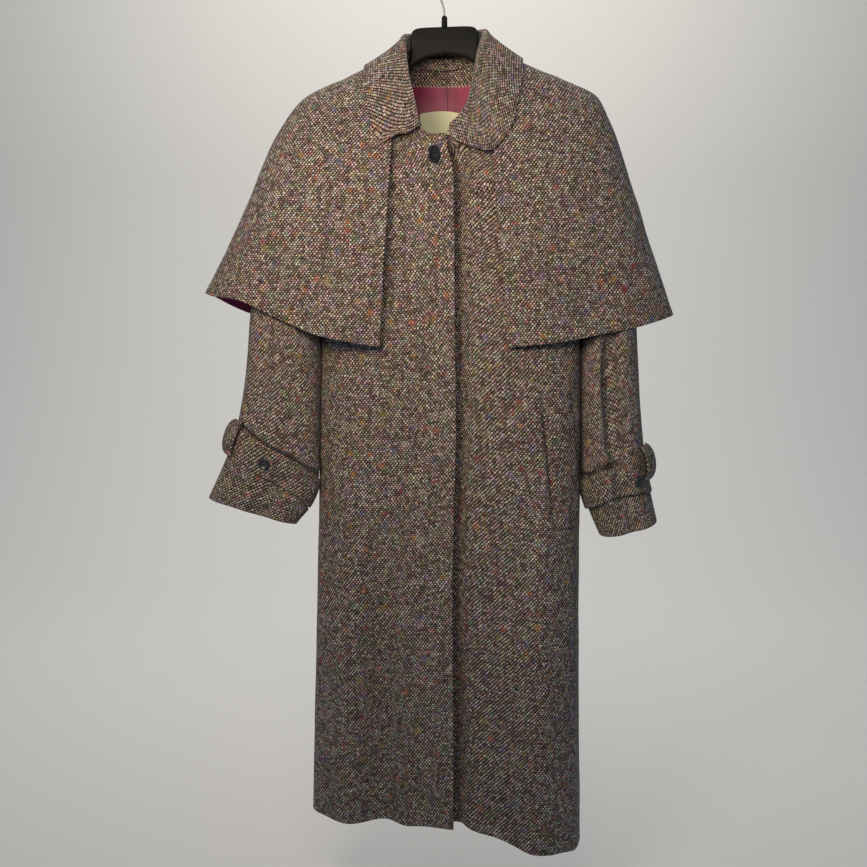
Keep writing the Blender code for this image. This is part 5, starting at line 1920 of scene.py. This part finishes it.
def make_label(name):
    """A bare woven label in pale green, with a fine rib."""
    shade = Shader(name, Roughness=0.6, Sheen_Weight=0.2, Specular_IOR_Level=0.35)
    place = shade.threads(LABEL_THREAD)
    s, t, _ = shade.split(place)
    ribs = [shade.math("SINE", shade.math("MULTIPLY", way, np.pi)) for way in (s, t)]
    rib = shade.math("MULTIPLY", *ribs)
    patch = shade.noise(place, *LABEL_NOISE)[0]
    colour = shade.ramp(patch, LABEL_STOPS)
    colour = shade.mix(shade.fit(rib, -1.0, 1.0, LABEL_RIB_SHARE, 0.0, "LINEAR"), colour, LABEL_RIB)
    shade.colour(colour)
    shade.bump(rib, *LABEL_BUMP)
    return shade.material


def make_thread(name, colour):
    """Twisted sewing thread."""
    shade = Shader(name, Roughness=0.8, Sheen_Weight=0.3, Specular_IOR_Level=0.2)
    place = shade.place()
    twist = shade.noise(place, TWIST_NOISE)[0]
    dark = tuple(TWIST_DARK * value for value in colour)
    shade.colour(shade.ramp(twist, list(zip(TWIST_PLACES, (dark, colour)))))
    shade.bump(twist, *TWIST_BUMP)
    return shade.material


def make_horn(name):
    """Polished dark button, faintly mottled and worn."""
    shade = Shader(name, Roughness=0.22, Specular_IOR_Level=0.6, Coat_Weight=0.5, Coat_Roughness=0.12)
    place = shade.place()
    mottle = shade.noise(place, *HORN_MOTTLE)[0]
    shade.colour(shade.ramp(mottle, HORN_STOPS))
    wear = shade.noise(place, *HORN_WEAR)[0]
    shade.roughness(shade.fit(wear, *HORN_ROUGHNESS, "LINEAR"))
    shade.bump(wear, *HORN_BUMP)
    return shade.material


def make_plastic(name):
    """Satin black moulded plastic with a fine grain and a few scuffs."""
    shade = Shader(name, Roughness=0.55, Specular_IOR_Level=0.12)
    place = shade.place()
    grain = shade.noise(place, PLASTIC_GRAIN)[0]
    scuff = shade.noise(shade.vector("MULTIPLY", place, PLASTIC_STRETCH), *PLASTIC_SCUFF)[0]
    shade.colour(shade.ramp(scuff, PLASTIC_STOPS))
    shade.roughness(shade.fit(scuff, *PLASTIC_ROUGHNESS, "LINEAR"))
    shade.bump(grain, *PLASTIC_BUMP)
    return shade.material


def make_steel(name):
    """Plated wire, lightly drawn and tarnished."""
    shade = Shader(name, Roughness=0.3, Metallic=1.0)
    place = shade.place()
    tarnish = shade.noise(place, *STEEL_TARNISH)[0]
    shade.colour(shade.ramp(tarnish, STEEL_STOPS))
    shade.roughness(shade.fit(tarnish, *STEEL_ROUGHNESS, "LINEAR"))
    return shade.material


def make_paints():
    return Paint(
        tweed=make_tweed("tweed_cloth", 1.0),
        trim=make_tweed("tweed_trim_cloth", TRIM_TONE),
        satin=make_satin("satin", 0.0),
        back_satin=make_satin("satin_with_seam", SATIN_SEAM_X),
        label=make_label("label_weave"),
        thread=make_thread("pale_thread", STITCH_COLOUR),
        buttonhole=make_thread("brown_thread", BUTTONHOLE_COLOUR),
        # One near-black material: painted shade in the buttonhole's slit, and the dark thread on the
        # buttons
        slit=make_thread("painted_slit_shade_and_dark_thread", SLIT_SHADE_AND_THREAD_COLOUR),
        horn=make_horn("horn"),
        plastic=make_plastic("satin_plastic"),
        steel=make_steel("plated_wire"),
    )


def make_stage():
    cove_y = WALL_Y - COVE_RADIUS
    profile = [(FLOOR_FRONT, FLOOR_Z), (cove_y, FLOOR_Z)]
    for turn in np.radians(np.linspace(0, 90, COVE_POINTS))[1:]:
        profile.append((cove_y + COVE_RADIUS * np.sin(turn), FLOOR_Z + COVE_RADIUS * (1 - np.cos(turn))))
    profile.append((WALL_Y, WALL_TOP))
    points = [(x, y, z) for y, z in profile for x in (-STAGE_HALF, STAGE_HALF)]
    faces = [[2 * k, 2 * k + 1, 2 * k + 3, 2 * k + 2] for k in range(len(profile) - 1)]
    mesh = bpy.data.meshes.new("studio_floor")
    mesh.from_pydata(points, [], faces)
    shade = Shader("studio_paper", Roughness=0.9, Specular_IOR_Level=0.1)
    shade.colour((*STAGE_COLOUR, 1.0))
    add_mesh("studio_floor", mesh, (shade.material,))


def make_lights():
    """The lamps and the cool room."""
    world = bpy.data.worlds.new("studio")
    world.use_nodes = True
    background = world.node_tree.nodes["Background"]
    background.inputs["Color"].default_value = ROOM_COLOUR
    background.inputs["Strength"].default_value = ROOM_STRENGTH
    bpy.context.scene.world = world
    for light in LIGHTS:
        data = bpy.data.lights.new(light.name, "AREA")
        data.shape = "DISK"
        data.size = light.size
        data.energy = light.watts
        data.color = light.colour
        made = add_object(light.name, data)
        made.location = light.place
        aim = np.array(light.target) - np.array(light.place)
        pitch = np.arctan2(np.hypot(aim[0], aim[1]), -aim[2])
        made.rotation_euler = (pitch, 0.0, np.arctan2(aim[1], aim[0]) - np.pi / 2)
        made.visible_camera = False


def make_camera():
    data = bpy.data.cameras.new("camera")
    data.lens = CAMERA_LENS
    data.sensor_width = CAMERA_SENSOR
    made = add_object("camera", data)
    made.location = CAMERA_PLACE
    made.rotation_euler = (np.pi / 2 - CAMERA_DOWN, 0.0, 0.0)
    bpy.context.scene.camera = made
    bpy.context.scene.view_settings.view_transform = "Standard"


def make_coat(paint):
    make_body(paint)
    make_neck_inside(paint)
    make_cape(paint)
    make_collar(paint)
    sleeves = [
        (
            "right", SLEEVE_RIGHT, SLEEVE_RIGHT_FOLDS, SLEEVE_RIGHT_CREASES, STRAP_RIGHT, CINCH_RIGHT,
            LOOP_RIGHT, BUTTON_ALONG_RIGHT,
        ),
        (
            "left", SLEEVE_LEFT, SLEEVE_LEFT_FOLDS, SLEEVE_LEFT_CREASES, STRAP_LEFT, CINCH_LEFT,
            LOOP_LEFT, BUTTON_ALONG_LEFT,
        ),
    ]
    for side, table, folds, creases, strap, cinch, loop, button in sleeves:
        surface, unit, push = make_sleeve(side, table, folds, creases, strap, cinch, loop, paint)
        make_strap(side, surface, unit, strap, paint)
        make_strap_loop(side, surface, unit, push, loop, paint)
        make_cuff_button(side, surface, unit, strap, button, paint)
    make_welt(paint)
    make_neck_button(paint)
    make_facing_stitches(paint)
    make_hanger(paint)
    make_hook(paint)


make_camera()
make_lights()
make_stage()
make_coat(make_paints())
